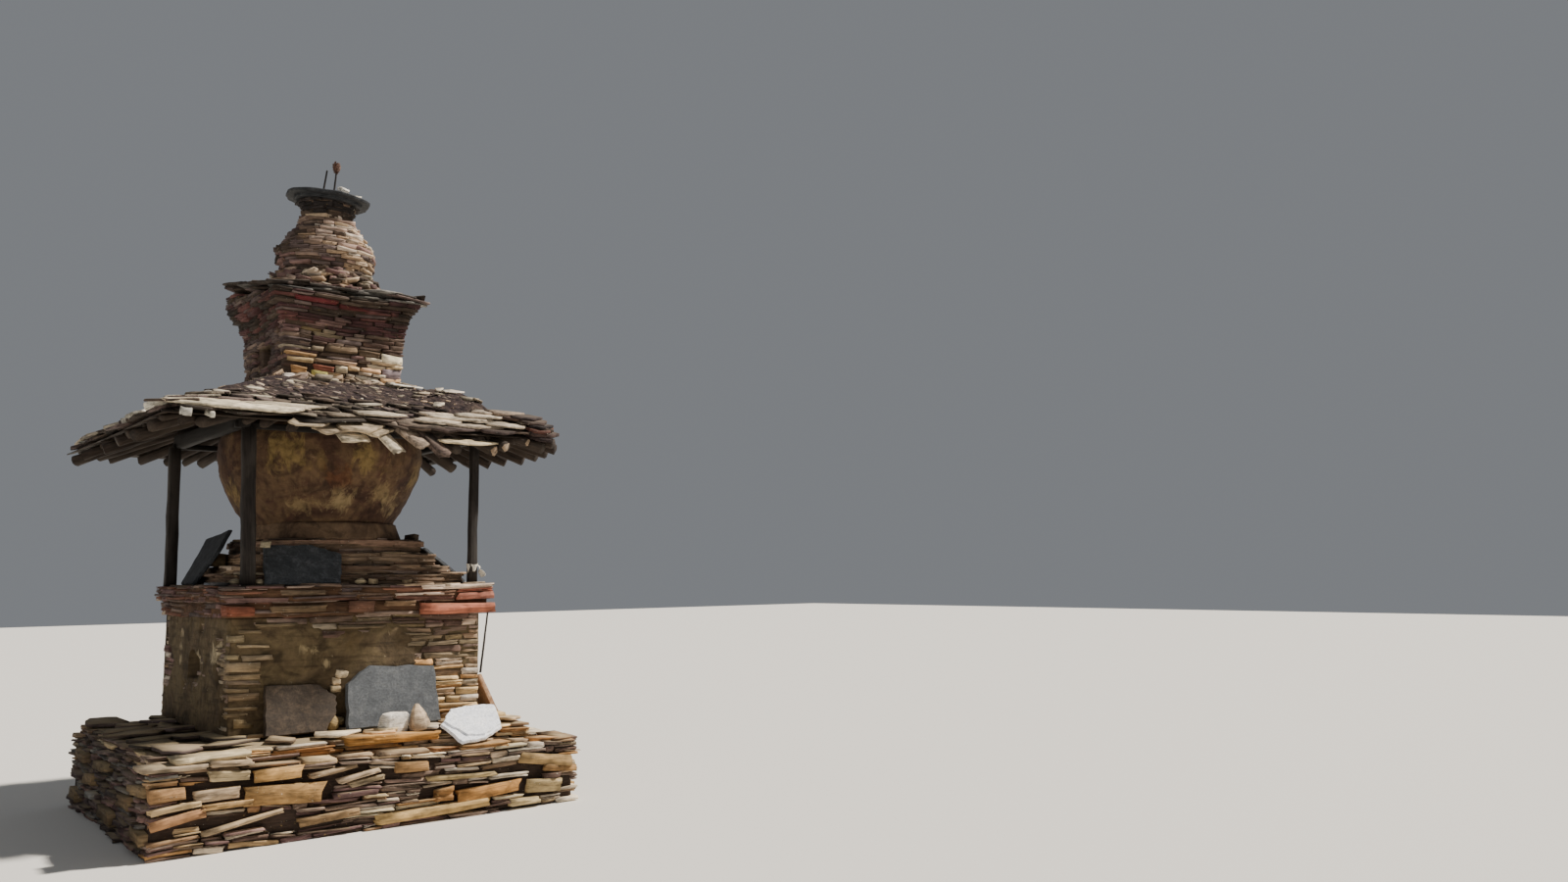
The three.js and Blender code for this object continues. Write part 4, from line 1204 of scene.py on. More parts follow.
def model_timber(seed, cuts=7):
    """A hewn post: a squared trunk with worn edges and axe-cut faces."""
    bpy.ops.mesh.primitive_cube_add(size=1)
    timber = bpy.context.object
    draw = Random(seed)
    open_piece("EDGE", "DESELECT")
    close_piece()
    points = timber.data.vertices
    for edge in timber.data.edges:
        edge.select = abs(points[edge.vertices[0]].co.z - points[edge.vertices[1]].co.z) > 0.5
    bpy.ops.object.mode_set(mode="EDIT")
    bpy.ops.mesh.bevel(offset=0.16, segments=2, affect="EDGES")
    for cut in range(1, cuts + 1):
        bpy.ops.mesh.select_all(action="SELECT")
        bpy.ops.mesh.bisect(plane_co=(0, 0, cut / (cuts + 1) - 0.5), plane_no=(0, 0, 1))
    close_piece()
    shifts = [(draw.uniform(-0.04, 0.04), draw.uniform(-0.04, 0.04), draw.uniform(0.94, 1.04))
              for _ in range(cuts + 2)]
    for vertex in timber.data.vertices:
        shift = shifts[round((vertex.co.z + 0.5) * (cuts + 1))]
        vertex.co.x = vertex.co.x * shift[2] + shift[0]
        vertex.co.y = vertex.co.y * shift[2] + shift[1]
    roughen(timber, (0.02, 0.02, 0.0), seed + 1)
    return take_shape(timber)


TIMBERS = [model_timber(seed) for seed in (61, 62)]


# How far the foot of a post stands off to the right, and the turn that squares a post with the walls
POST_LEAN = {"post_front_left": 0.035, "post_back_left": 0.012}
POST_TURN = pi / 2
TIMBER_TINT = "#8a8278"


def build_posts():
    for number, name in enumerate(("post_front_left", "post_front_right", "post_back_left", "post_back_right")):
        heap = new_heap(151 + number)
        (x, y, _), (wide, deep, _) = span_of(name)
        low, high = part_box(name)
        lay_between(heap, TIMBERS[number % 2], (x + POST_LEAN.get(name, 0), y, low.z - 0.005),
                    (x, y, high.z + 0.015), 1.22 * wide, 1.22 * deep, TIMBER_TINT, POST_TURN)
        make_piece(f"{name}_timber", heap, "post", "dark_wood", name)
    for number, name in enumerate(("beam_front", "beam_back", "beam_left", "beam_right")):
        heap = new_heap(161 + number)
        middle, (wide, deep, high) = span_of(name)
        along = (1, 0, 0) if wide > deep else (0, 1, 0)
        lay(heap, TIMBERS[number % 2], (min(wide, deep), high, max(wide, deep)), middle, towards(along), TIMBER_TINT)
        make_piece(f"{name}_timber", heap, "beam", "dark_wood", name)


# The roof: poles, split boards, slates and earth

HEAD_LEFT, HEAD_RIGHT, HEAD_FRONT, HEAD_BACK = -0.512, 0.415, -0.479, 0.545
HEAD_FACES = {"left": HEAD_LEFT, "right": HEAD_RIGHT, "front": HEAD_FRONT, "back": HEAD_BACK}
EAVES = {"left": -1.565, "right": 1.25, "front": -1.54, "back": 1.59}
ROOF_TOP, ROOF_EAVE = 3.18, 2.79
ROOF_SIDES = {"front": (("left", "front"), ("right", "front")), "right": (("right", "front"), ("right", "back")),
              "back": (("right", "back"), ("left", "back")), "left": (("left", "back"), ("left", "front"))}
DECK = 0.022
POLE_TINTS = ("#9a9184", "#8a8072", "#a59b8b", "#7d7264", "#94816b")


def roof_point(side, t, w, rise=0.0):
    """A point of a roof side: t runs from the head to the eave, w from its left end to its right."""
    ends = [[HEAD_FACES[key] + t * (EAVES[key] - HEAD_FACES[key]) for key in corner] for corner in ROOF_SIDES[side]]
    return Vector((*[a + w * (b - a) for a, b in zip(*ends)], ROOF_TOP + t * (ROOF_EAVE - ROOF_TOP) + rise))


def roof_way(side, turn=0.0, tip=0.0, roll=0.0, t=0.9, w=0.5):
    """The turning of a slate that lies on a roof side: its length along the eave, its back up the slope."""
    along = (roof_point(side, t, w + 0.01) - roof_point(side, t, w - 0.01)).normalized()
    up = roof_point(side, t - 0.05, 0.5) - roof_point(side, t + 0.05, 0.5)
    up = (up - along * up.dot(along)).normalized()
    return turned(turn, tip, roll, Matrix((along, up, along.cross(up))).transposed())


# Thick poles that reach out below the slates: way along the eave, rise of their middles, thickness and whether sawn
STOUT_POLES = {
    "front": metres((
        (700, -105, 78), (765, -50, 60), (812, -100, 86, "sawn"), (846, -66, 86, "sawn"), (912, -20, 66, "sawn"),
        (950, -55, 80), (990, -20, 80))),
    "right": metres((
        (20, -50, 78), (62, -70, 80), (105, -82, 90), (180, -92, 90), (284, -80, 92), (358, -92, 86), (470, -70, 80),
        (597, -76, 90), (745, -70, 80))),
    "left": metres((
        (80, -70, 85), (240, -60, 75), (420, -75, 85), (600, -60, 80), (780, -80, 90), (930, -60, 80))),
}


def lay_pole(heap, start, end, thick, ends=None):
    """A roof pole, and the paler wood of its sawn end."""
    draw = heap["draw"]
    lay_between(heap, draw.choice(POLES), end, start, thick * 1.1, thick, draw.choice(POLE_TINTS),
                draw.uniform(0, 3))
    if ends:
        out = (end - start).normalized()
        lay_between(ends, draw.choice(FLAGS), end - out * 0.004, end + out * 0.004, thick * 0.88, thick * 0.8,
                    "#ffffff", draw.uniform(0, 3))


def build_rafters():
    ends = new_heap(175)
    for number, side in enumerate(ROOF_SIDES):
        heap = new_heap(171 + number)
        draw = heap["draw"]
        poles = 15 if side in ("front", "back") else 11
        for i in range(poles):
            w = (i + 0.5 + draw.uniform(-0.32, 0.32)) / poles
            thick = draw.uniform(0.04, 0.078)
            reach = draw.uniform(0.93, 1.015)
            start = roof_point(side, 0.02, w + draw.uniform(-0.01, 0.01), -0.012 - thick / 2)
            end = roof_point(side, reach, w, -0.006 - thick / 2)
            lay_pole(heap, start, end, thick)
        for w, rise, thick, *sawn in STOUT_POLES.get(side, ()):
            lay_pole(heap, roof_point(side, 0.55, w + draw.gauss(0, 0.012), rise + 0.02),
                     roof_point(side, draw.uniform(1.0, 1.045), w, rise), thick, ends if sawn else None)
        rows = 13
        for i in range(rows):
            t = 0.06 + (0.965 - 0.06) * i / (rows - 1)
            for start_w, end_w in ((-0.005, 0.36), (0.3, 0.7), (0.64, 1.005)):
                width = draw.uniform(0.07, 0.12)
                start = roof_point(side, t + draw.uniform(-0.02, 0.02), start_w, 0.008)
                end = roof_point(side, t + draw.uniform(-0.02, 0.02), end_w, 0.008 + draw.uniform(-0.004, 0.004))
                way = roof_way(side, pi / 2 + draw.gauss(0, 0.02)) @ turned(0, pi / 2)
                lay(heap, draw.choice(BOARDS), (width, 0.02, (end - start).length), (start + end) / 2, way,
                    draw.choice(POLE_TINTS))
        make_piece(f"rafters_{side}_poles", heap, "pole", "grey_wood", f"rafters_{side}")
    make_piece("sawn_pole_ends", ends, "cut_wood", "grey_wood")


# Rows of slates from the eave upwards: way down the slope of their middles and slope-wise depth
SLATE_ROWS = ((0.935, 0.27), (0.875, 0.26), (0.8, 0.26), (0.725, 0.25), (0.645, 0.25), (0.56, 0.25))
SLATES = FLAGS + BLOCKS[:7]


def slate_kinds(side, w, t):
    # Darker mixes on the front's right half and on its upper rows are partly painted shade between and under the
    # slates.
    if side == "front":
        if t > 0.84 and w < 0.45:
            return "pale slate pale slate"
        if w > 0.5:
            return "dark slate shade pale dark" if t > 0.84 else "dark shade slate dark"
        return "slate pale slate shade" if t > 0.86 else "dark slate dark shade dark"
    if side == "left":
        return "slate dark shade grey"
    return "slate dark shade slate dark"


def lay_slates(heap, side, t, deep, layer, widths, gap, kinds):
    """Lays one row of slates along a roof side."""
    draw = heap["draw"]
    length = (roof_point(side, t, 1) - roof_point(side, t, 0)).length
    w = 0.005 + draw.uniform(0, 0.02)
    while w < 0.985:
        wide = min(draw.choice(widths) * draw.uniform(0.85, 1.15), (0.995 - w) * length)
        if wide < 0.06:
            break
        middle = w + wide / 2 / length
        thick = draw.uniform(0.011, 0.024)
        depth = deep * draw.uniform(0.6, 1.1)
        lift = DECK + thick * 0.8 + layer * 0.022 + draw.uniform(0, 0.01)
        if side == "right" and t > 0.8:
            lift += 0.02
        spot = roof_point(side, t + draw.uniform(-0.03, 0.025) - 0.012 * layer, middle, lift)
        way = roof_way(side, draw.gauss(0, 0.17), -thick / deep - draw.uniform(-0.05, 0.07), draw.gauss(0, 0.04),
                       t, middle)
        lay(heap, draw.choice(SLATES), (wide * 1.06, depth, thick), spot, way, pick(heap, kinds(side, middle, t)))
        w += wide * draw.uniform(*gap) / length


def build_slates():
    for number, side in enumerate(ROOF_SIDES):
        heap = new_heap(181 + number)
        draw = heap["draw"]
        for t, deep in SLATE_ROWS:
            # The lowest layer is dark slates that show between the upper ones as painted shade.
            lay_slates(heap, side, t, deep, 0, (0.3, 0.42, 0.56), (0.85, 0.95),
                       lambda side, w, t: "dark shade dark")
            lay_slates(heap, side, t - 0.02, deep * 0.85, 1, (0.12, 0.18, 0.26, 0.36), (0.95, 1.5), slate_kinds)
            lay_slates(heap, side, t - 0.05, deep * 0.62, 2, (0.1, 0.16, 0.22, 0.32), (1.1, 2.4), slate_kinds)
        for i in range(6):
            t = 0.93 - 0.075 * i
            spot = roof_point(side, t - 0.02, 0.0, DECK + 0.05 + 0.006 * (i % 2))
            lay(heap, draw.choice(FLAGS), (draw.uniform(0.24, 0.36), 0.24, draw.uniform(0.016, 0.026)), spot,
                hip_way(side, draw.gauss(0, 0.2)), pick(heap, slate_kinds(side, 1, t)))
        for w, t, lift, size, tip, turn, colour in ROOF_STONES.get(side, ()):
            lay(heap, draw.choice(BLOCKS if tip > 0.3 else FLAGS), size, roof_point(side, t, w, lift),
                roof_way(side, turn, tip, 0.0, t, w), colour)
        make_piece(f"slates_{side}_stones", heap, "roof_slate", "pale_slate", f"slates_{side}")


def hip_way(side, turn):
    """The turning of a slate that lies over the corner at a roof side's left end."""
    down = (roof_point(side, 1.0, 0.0) - roof_point(side, 0.0, 0.0)).normalized()
    across = down.cross(Vector((0, 0, 1))).normalized()
    return turned(turn, -0.09, 0, Matrix((-across, -down, across.cross(down))).transposed())


# Single slates that stand out: way along, way down, lift, size, tip, turn, colour
# The darkest of these, on the front's right half, are partly painted shade.
ROOF_STONES = {
    "front": metres((
        (150, 965, 85, (900, 220, 28), -30, -20, "#dfd0b4"), (60, 1045, 40, (75, 100, 50), 0, 100, "#efe9dc"),
        (114, 1045, 30, (50, 90, 36), 0, 300, "#e2dbcb"), (255, 880, 88, (620, 160, 22), -80, 30, "#cfc0a6"),
        (90, 890, 70, (420, 260, 26), -80, 50, "#a3937f"), (330, 1010, 20, (340, 200, 20), 60, 80, "#b9a78c"),
        (385, 1020, -15, (300, 220, 20), 180, -100, "#bba78c"), (428, 1025, -50, (240, 180, 22), 340, 200, "#d9c8ab"),
        (452, 995, 15, (360, 240, 24), 140, -80, "#c5b092"), (492, 1000, -5, (280, 240, 24), 220, 100, "#c9b596"),
        (510, 930, 92, (400, 140, 20), 0, 100, "#dccbb2"), (520, 1030, -70, (125, 270, 24), 520, 620, "#ecdcc0"),
        (576, 1004, -20, (150, 340, 36), 400, 660, "#b5a08c"), (610, 965, 45, (340, 200, 26), 160, -100, "#6d5d51"),
        (640, 1015, -66, (120, 300, 50), 460, 500, "#6b5a51"), (668, 950, 80, (400, 120, 22), 20, 60, "#d8c6ae"),
        (735, 1020, -42, (500, 140, 18), 40, -50, "#d6c3a0"), (700, 985, 40, (460, 200, 24), 60, 30, "#52443e"),
        (770, 975, 66, (460, 120, 24), -20, -40, "#c8b6a0"), (840, 985, 50, (440, 200, 24), 20, 40, "#4a3c38"),
        (745, 905, 100, (560, 140, 22), -60, -50, "#dfcfb8"), (690, 850, 104, (300, 100, 22), -60, 80, "#cdbba4"),
        (870, 950, 90, (360, 160, 22), -40, 60, "#d8c7ae"), (830, 860, 122, (500, 140, 22), -60, 20, "#e3d3bc"),
        (900, 780, 135, (400, 140, 22), -60, 60, "#cbb9a4"), (940, 860, 130, (300, 200, 24), -40, -80, "#57463f"),
        (935, 820, 150, (340, 160, 22), -40, 100, "#8d7b6b"), (975, 970, 20, (260, 240, 34), -20, 300, "#3d302e"),
        (975, 975, 52, (280, 220, 30), -20, -200, "#4b3b36"), (970, 970, 80, (300, 240, 26), 20, 150, "#57382f"),
        (975, 965, 106, (240, 220, 26), -30, -100, "#332c2b"), (965, 940, 130, (280, 200, 22), 30, 400, "#4f4039"),
        (960, 900, 150, (300, 180, 20), -30, 200, "#3d3230"))),
    "left": metres((
        (930, 960, 85, (260, 180, 55), -20, 200, "#d8d1c0"), (740, 975, 75, (220, 140, 45), -20, 100, "#cfc8b7"),
        (660, 970, 70, (150, 130, 45), 0, -200, "#d8d2c2"), (500, 940, 80, (520, 240, 24), -50, 20, "#a59c8c"),
        (280, 940, 80, (560, 260, 24), -50, -30, "#978d7d"))),
}


def earth_height(side, t, w):
    """The top of the roof's earth above the slates' bed."""
    rise = blended(((0.0, 0.1), (0.1, 0.116), (0.22, 0.12), (0.4, 0.11), (0.58, 0.086), (0.66, 0.052)), t)
    spot = roof_point(side, t, w)
    rise += 0.062 * smooth(0.4, 0.05, hypot(spot.x - 0.74, spot.y + 0.9))
    return rise + 0.016 * ripple(11, 3, *spot) + 0.009 * ripple(12, 11, *spot) + 0.004 * ripple(13, 32, *spot)


def earth_rim(side, w):
    spot = roof_point(side, 0.6, w)
    return 0.64 + 0.07 * ripple(14, 2.4, *spot) + 0.03 * ripple(15, 9, *spot)


def build_roof_earth():
    around, section = 260, 40
    bpy.ops.mesh.primitive_torus_add(major_segments=around, minor_segments=section, major_radius=1.0,
                                     minor_radius=0.25)
    earth = bpy.context.object
    earth.name = "roof_earth_heap"
    sides = list(ROOF_SIDES)
    for vertex in earth.data.vertices:
        x, y, z = vertex.co
        turn = (atan2(y, x) / tau + 0.625) % 1.0 * 4
        side, w = sides[int(turn) % 4], turn % 1.0
        place = (atan2(z, hypot(x, y) - 1.0) / tau) % 1.0
        rim = earth_rim(side, w)
        if place <= 0.5:
            t = rim * (1 - place / 0.5)
            rise = earth_height(side, t, w) if t < rim - 0.02 else 0.045
        else:
            t = rim * (place - 0.5) / 0.5
            rise = 0.03
        vertex.co = roof_point(side, max(t, 0.0), w, rise)
    open_piece()
    turn_outward()
    bpy.ops.object.shade_smooth()
    keep_piece(earth, "earth", "earth", "roof_earth")

    heap = new_heap(191)
    draw = heap["draw"]
    for _ in range(1300):
        side = draw.choice(sides)
        w = draw.random()
        t = (0.04 + 0.6 * draw.random() ** 0.7) * (earth_rim(side, w) / 0.64)
        size = draw.choice((0.018, 0.024, 0.032, 0.045, 0.06, 0.08)) * draw.uniform(0.8, 1.2)
        spot = roof_point(side, t, w, earth_height(side, t, w) - 0.005)
        way = roof_way(side, draw.uniform(0, 6), draw.gauss(0, 0.14), draw.gauss(0, 0.14), 0.5, w)
        lay(heap, draw.choice(FLAGS),
            (size, size * draw.uniform(0.45, 0.9), size * draw.uniform(0.1, 0.22) + 0.003), spot, way,
            pick(heap, "slate shade dark shade tan dark shade"))
    for _ in range(60):
        side = draw.choice(sides)
        w, t = draw.random(), draw.uniform(0.2, 0.64)
        size = draw.uniform(0.08, 0.2)
        spot = roof_point(side, t, w, earth_height(side, t, w) + 0.004)
        way = roof_way(side, draw.gauss(0, 0.4), draw.gauss(0, 0.06), draw.gauss(0, 0.06), 0.5, w)
        lay(heap, draw.choice(FLAGS), (size, size * draw.uniform(0.4, 0.7), draw.uniform(0.01, 0.02)),
            spot, way, pick(heap, "slate pale slate"))
    for _ in range(150):
        side = draw.choice(sides)
        w, t = draw.random(), 0.005 + 0.1 * draw.random() ** 1.5
        size = draw.uniform(0.05, 0.13)
        spot = roof_point(side, t, w, earth_height(side, t, w) + size * 0.08)
        way = roof_way(side, draw.uniform(0, 6), draw.gauss(0, 0.25), draw.gauss(0, 0.25), 0.5, w)
        lay(heap, draw.choice(BLOCKS + LUMPS), (size, size * 0.7, size * draw.uniform(0.25, 0.5)), spot, way,
            pick(heap, "cream tan brown slate"))
    lay(heap, FLAGS[1], (0.3, 0.08, 0.014),
        roof_point("front", 0.1, 0.93, earth_height("front", 0.1, 0.93) + 0.02),
        roof_way("front", 0.05, -0.1, 0.05), "#efe8d8")
    make_piece("roof_chips", heap, "chips", "pale_slate")


# The head: a square stone tower that flares into a slate cap

HEAD_FOOT, HEAD_TOP, FLARE_TOP, CAP_FOOT = 3.1, 3.69, 3.965, 4.12
HEAD_NICHE = (-0.095, 0.09, 3.425, 3.585)
FLARE = metres((
    (3100, 0), (3400, 4), (3550, 18), (3735, 22), (3780, 40), (3830, 60), (3895, 82), (3930, 108), (3965, 136),
    (4120, 150)))
LEFT_FLARE = metres((
    (3100, 0), (3400, 6), (3550, 18), (3745, 26), (3765, 52), (3835, 66), (3855, 104), (3930, 124), (3965, 136),
    (4120, 140)))


def head_ring(z):
    out = blended(FLARE, z)
    return ring(HEAD_LEFT - blended(LEFT_FLARE, z), HEAD_RIGHT + out, HEAD_FRONT - out, HEAD_BACK + out * 0.98)


def head_kinds(side, x, y, z):
    # Painted light: low stones on the front and right, below the cap's shadow, take lit colours as painted sunlight;
    # the left side and its corbels take shade and dark colours as painted shade.
    if z > 3.88:
        return "dark plum shade"
    if z > 3.8:
        return "plum dark plum shade" if side != "left" else "dark plum dark"
    if z > 3.7:
        return "plum purple plum shade" if side != "left" else "dark plum dark"
    if z < 3.455 + 0.05 * (x > 0.2) and side in ("front", "right"):
        return "lit lit cream lit"
    if side == "left":
        return "shade purple brown shade"
    return "brown shade olive purple brown"


# The palest of these low stones, and the pale block at the right, are painted sunlight.
HEAD_STONES = metres((
    (-200, 3520, 260, 50, "#77644f"), (60, 3505, 180, 52, "#6c5a48"), (250, 3474, 172, 76, "#fbeccb"),
    (335, 3440, 92, 24, "#f3d9ae"), (262, 3345, 166, 86, "#a59395"), (-462, 3312, 130, 58, "#e3b078"),
    (-300, 3302, 130, 50, "#d9cc78"), (-492, 3402, 205, 36, "#f0cf9c"), (-505, 3448, 240, 28, "#c9a071"),
    (-286, 3350, 168, 48, "#b5705a"), (-142, 3420, 200, 30, "#efc9a8"), (-10, 3378, 88, 40, "#f4cf9f"),
    (85, 3384, 170, 34, "#efc195"), (-110, 3350, 90, 60, "#f3e0be"), (-470, 3886, 330, 32, "#6c3234"),
    (-130, 3868, 240, 30, "#5f302f")))


def in_head_niche(side, x, y, z):
    return side == "left" and HEAD_NICHE[0] < y < HEAD_NICHE[1] and HEAD_NICHE[2] + 0.01 < z < HEAD_NICHE[3] - 0.01


def in_head_stone(side, x, y, z):
    return side == "front" and on_own_stone(HEAD_STONES, x, z)


def build_head():
    look = dict(STEP_STONE, course=(0.022, 0.044), length=(0.07, 0.26), depth=0.14, rough=0.01, joint=0.005,
                kinds=head_kinds, leave=in_head_stone, gap=in_head_niche)
    for number, (node, slot, foot, top) in enumerate((
            ("head_wall", "wall_stone", HEAD_FOOT, HEAD_TOP), ("corbel_lower", "wall_stone", HEAD_TOP, 3.82),
            ("corbel_middle", "red_stone", 3.82, 3.9), ("corbel_upper", "wall_stone", 3.9, FLARE_TOP))):
        heap = new_heap(201 + number)
        out = blended(FLARE, foot)
        behind = 0.165 if node == "head_wall" else 0.014
        lay_fill(heap, (HEAD_LEFT - out + behind, HEAD_RIGHT + out - 0.014, HEAD_FRONT - out + 0.014,
                        HEAD_BACK + out - 0.014), 0, foot, top)
        if node == "head_wall":
            for front, back, low, high in (
                    (-0.465, HEAD_NICHE[0], foot, top), (HEAD_NICHE[1], 0.531, foot, top),
                    (*HEAD_NICHE[:2], foot, HEAD_NICHE[2]), (*HEAD_NICHE[:2], HEAD_NICHE[3], top)):
                lay_fill(heap, (-0.498, -0.347, front, back), 0, low, high)
            lay(heap, BLOCKS[0], (0.34, 0.12, 0.035), (-0.462, 0.0, HEAD_NICHE[3] + 0.012), turned(pi / 2),
                "#6f5f4b")
            lay(heap, BLOCKS[1], (0.3, 0.12, 0.03), (-0.458, 0.0, HEAD_NICHE[2] - 0.016), turned(pi / 2),
                "#7c6b53")
        flared = dict(look, course=(0.02, 0.034), length=(0.1, 0.34)) if node.startswith("corbel") else look
        lay_tower(heap, head_ring, foot, top - 0.002, flared)
        for x, low, length, high, colour in HEAD_STONES:
            if foot <= low < top:
                out = blended(FLARE, low + high / 2)
                lay(heap, heap["draw"].choice(BLOCKS), (length, 0.13, high),
                    (x + length / 2, HEAD_FRONT - out + 0.058, low + high / 2), turned(0), colour)
        if node == "corbel_upper":
            lay_tower(heap, head_ring, top, CAP_FOOT, dict(
                flared, gap=lambda side, x, y, z: z > cap_top(x, y) - 0.05))
        make_piece(f"{node}_stones", heap, "head", slot, node, sunk=0.008)


CAP_CORNERS = ((-0.6, -0.57), (0.595, -0.66), (0.595, 0.7), (-0.672, 0.705))
SPIRE_MIDDLE, SPIRE_FOOT, SPIRE_TOP = (-0.046, 0.039), 4.215, 4.858
SPIRE_SIDE = metres((
    (4215, 330), (4240, 342), (4300, 366), (4390, 396), (4430, 392), (4494, 350), (4579, 286), (4640, 248),
    (4697, 226), (4745, 206), (4790, 214), (4825, 238), (4860, 262)))


def cap_top(x, y):
    return 4.02 - 0.0065 * (x + 0.6) + 0.1355 * (y + 0.57)


def build_cap():
    heap = new_heap(211)
    draw = heap["draw"]
    lean = atan(0.1355)
    fl, fr, br, bl = CAP_CORNERS
    rows = 4
    for drop, out in ((0.046, 0.97), (0.026, 1.0), (0.01, 0.96)):
        for i in range(rows):
            for j in range(rows):
                if 0 < i < rows - 1 and 0 < j < rows - 1:
                    continue
                u, v = (i + 0.5) / rows, (j + 0.5) / rows
                x, y = [(a * (1 - u) + b * u) * (1 - v) + (d * (1 - u) + c * u) * v
                        for a, b, c, d in zip(fl, fr, br, bl)]
                x, y = x * out + draw.uniform(-0.02, 0.02), y * out + draw.uniform(-0.02, 0.02)
                size = (draw.uniform(0.36, 0.46), draw.uniform(0.32, 0.42), draw.uniform(0.014, 0.022))
                y = max(y, fl[1] + (fr[1] - fl[1]) * u + size[1] * 0.53)
                lay(heap, draw.choice(FLAGS), size, (x, y, cap_top(x, y) - drop + draw.uniform(-0.004, 0.004)),
                    turned(draw.choice((0, pi)) + draw.gauss(0, 0.1), lean + draw.gauss(0, 0.015),
                           draw.gauss(0, 0.02)), pick(heap, "dark grey shade dark"))
    for x, y, drop, size, turn, colour in metres((
            (440, -452, -4, (420, 320, 18), 600, "#4a433d"), (-470, -430, 12, (460, 400, 22), -600, "#4f463f"),
            (-80, -450, 4, (600, 280, 20), 50, "#57504a"), (440, 540, 0, (500, 420, 22), -600, "#564d45"),
            (-500, 520, 0, (500, 420, 26), 700, "#5c5148"), (20, 50, 30, (980, 980, 50), 100, "#4a433d"))):
        lay(heap, draw.choice(FLAGS[:4]), size, (x, y, cap_top(x, y) - drop), turned(turn, lean), colour)
    make_piece("cap_slates", heap, "roof_slate", "dark_slate", "cap_slab")

    heap = new_heap(212)
    draw = heap["draw"]
    heap_side = ((3.99, 0.52), (4.08, 0.49), (4.15, 0.44), (4.24, 0.372))
    lay(heap, DRUM, (0.74, 0.74, 0.23), (*SPIRE_MIDDLE, 4.115), np.eye(3), STONES["mud"])
    for z in (4.02, 4.055, 4.09, 4.12, 4.15, 4.18, 4.208):
        radius = blended(heap_side, z)
        for i in range(int(26 * radius / 0.45)):
            angle = tau * (i + draw.random()) / int(26 * radius / 0.45)
            x = SPIRE_MIDDLE[0] + (radius - 0.05) * cos(angle)
            y = SPIRE_MIDDLE[1] + (radius - 0.05) * sin(angle)
            size = draw.uniform(0.07, 0.17)
            rise = max(z, cap_top(x, y) + 0.006) if z < 4.1 else z
            lay(heap, draw.choice(BLOCKS + FLAGS), (size, size * 0.8, draw.uniform(0.018, 0.042)),
                (x, y, rise + 0.012), askew(draw, angle + 1.57, 0.5, 0.14, 0.14),
                pick(heap, "tan brown purple slate dark"))
    make_piece("cap_rubble_stones", heap, "head", "wall_stone", "cap_rubble")


def spire_kinds(angle, z):
    # Painted light: the side towards the light takes pale glow, rose and tan colours as painted sunlight, the left
    # side shade colours as painted shade, and the neck under the disc near-black as the disc's painted shadow.
    lit = cos(angle + 0.5)
    if z > 4.7:
        return "soot" if z > 4.76 else "soot dark"
    if cos(angle - 2.9) > 0.62:
        return "shade dark purple" if z < 4.52 else "shade brown purple"
    if z > 4.45:
        if lit > 0.55:
            return "glow rose tan rose"
        return "rose tan brown" if lit > -0.35 else "brown purple shade"
    if lit > 0.55 and z < 4.37:
        return "tan rose orange tan rose shade"
    if lit > 0.1:
        return "tan brown purple rose shade"
    return "brown purple shade shade purple"


def build_spire():
    heap = new_heap(221)
    rise = 0.03
    for foot in np.arange(SPIRE_FOOT, 4.845, rise):
        wide = 2 * (blended(SPIRE_SIDE, foot + rise / 2) - 0.02)
        lay(heap, DRUM, (wide, wide, rise), (*SPIRE_MIDDLE, foot + rise / 2), np.eye(3), STONES["mud"])
    lay_round(heap, SPIRE_MIDDLE, SPIRE_SIDE, SPIRE_FOOT, SPIRE_TOP, dict(
        course=(0.022, 0.046), length=(0.07, 0.22), depth=0.13, rough=0.014, tilt=0.035,
        kinds=spire_kinds))
    make_piece("spire_stones", heap, "head", "wall_stone", "spire_drum", sunk=0.006)
    build_disc()


DISC_RADIUS, DISC_FOOT, DISC_THICK, DISC_TILT = 0.33, 4.8553, 0.056, radians(4.2)
DISC_RIM = (1, 0.96, 1.02, 0.98, 1.04, 1, 0.94, 1.01, 0.99, 1.03, 0.95, 1, 1.03, 0.97)
DISC_DOWNHILL = (0.766, -0.643)


def on_disc(along, across, rise):
    """A point on the tilted top of the disc, by its way downhill, its way across and its rise."""
    x = SPIRE_MIDDLE[0] + along * DISC_DOWNHILL[0] - across * DISC_DOWNHILL[1]
    y = SPIRE_MIDDLE[1] + along * DISC_DOWNHILL[1] + across * DISC_DOWNHILL[0]
    top = DISC_FOOT + DISC_THICK
    return Vector((x, y, top - tan(DISC_TILT) * along + rise))


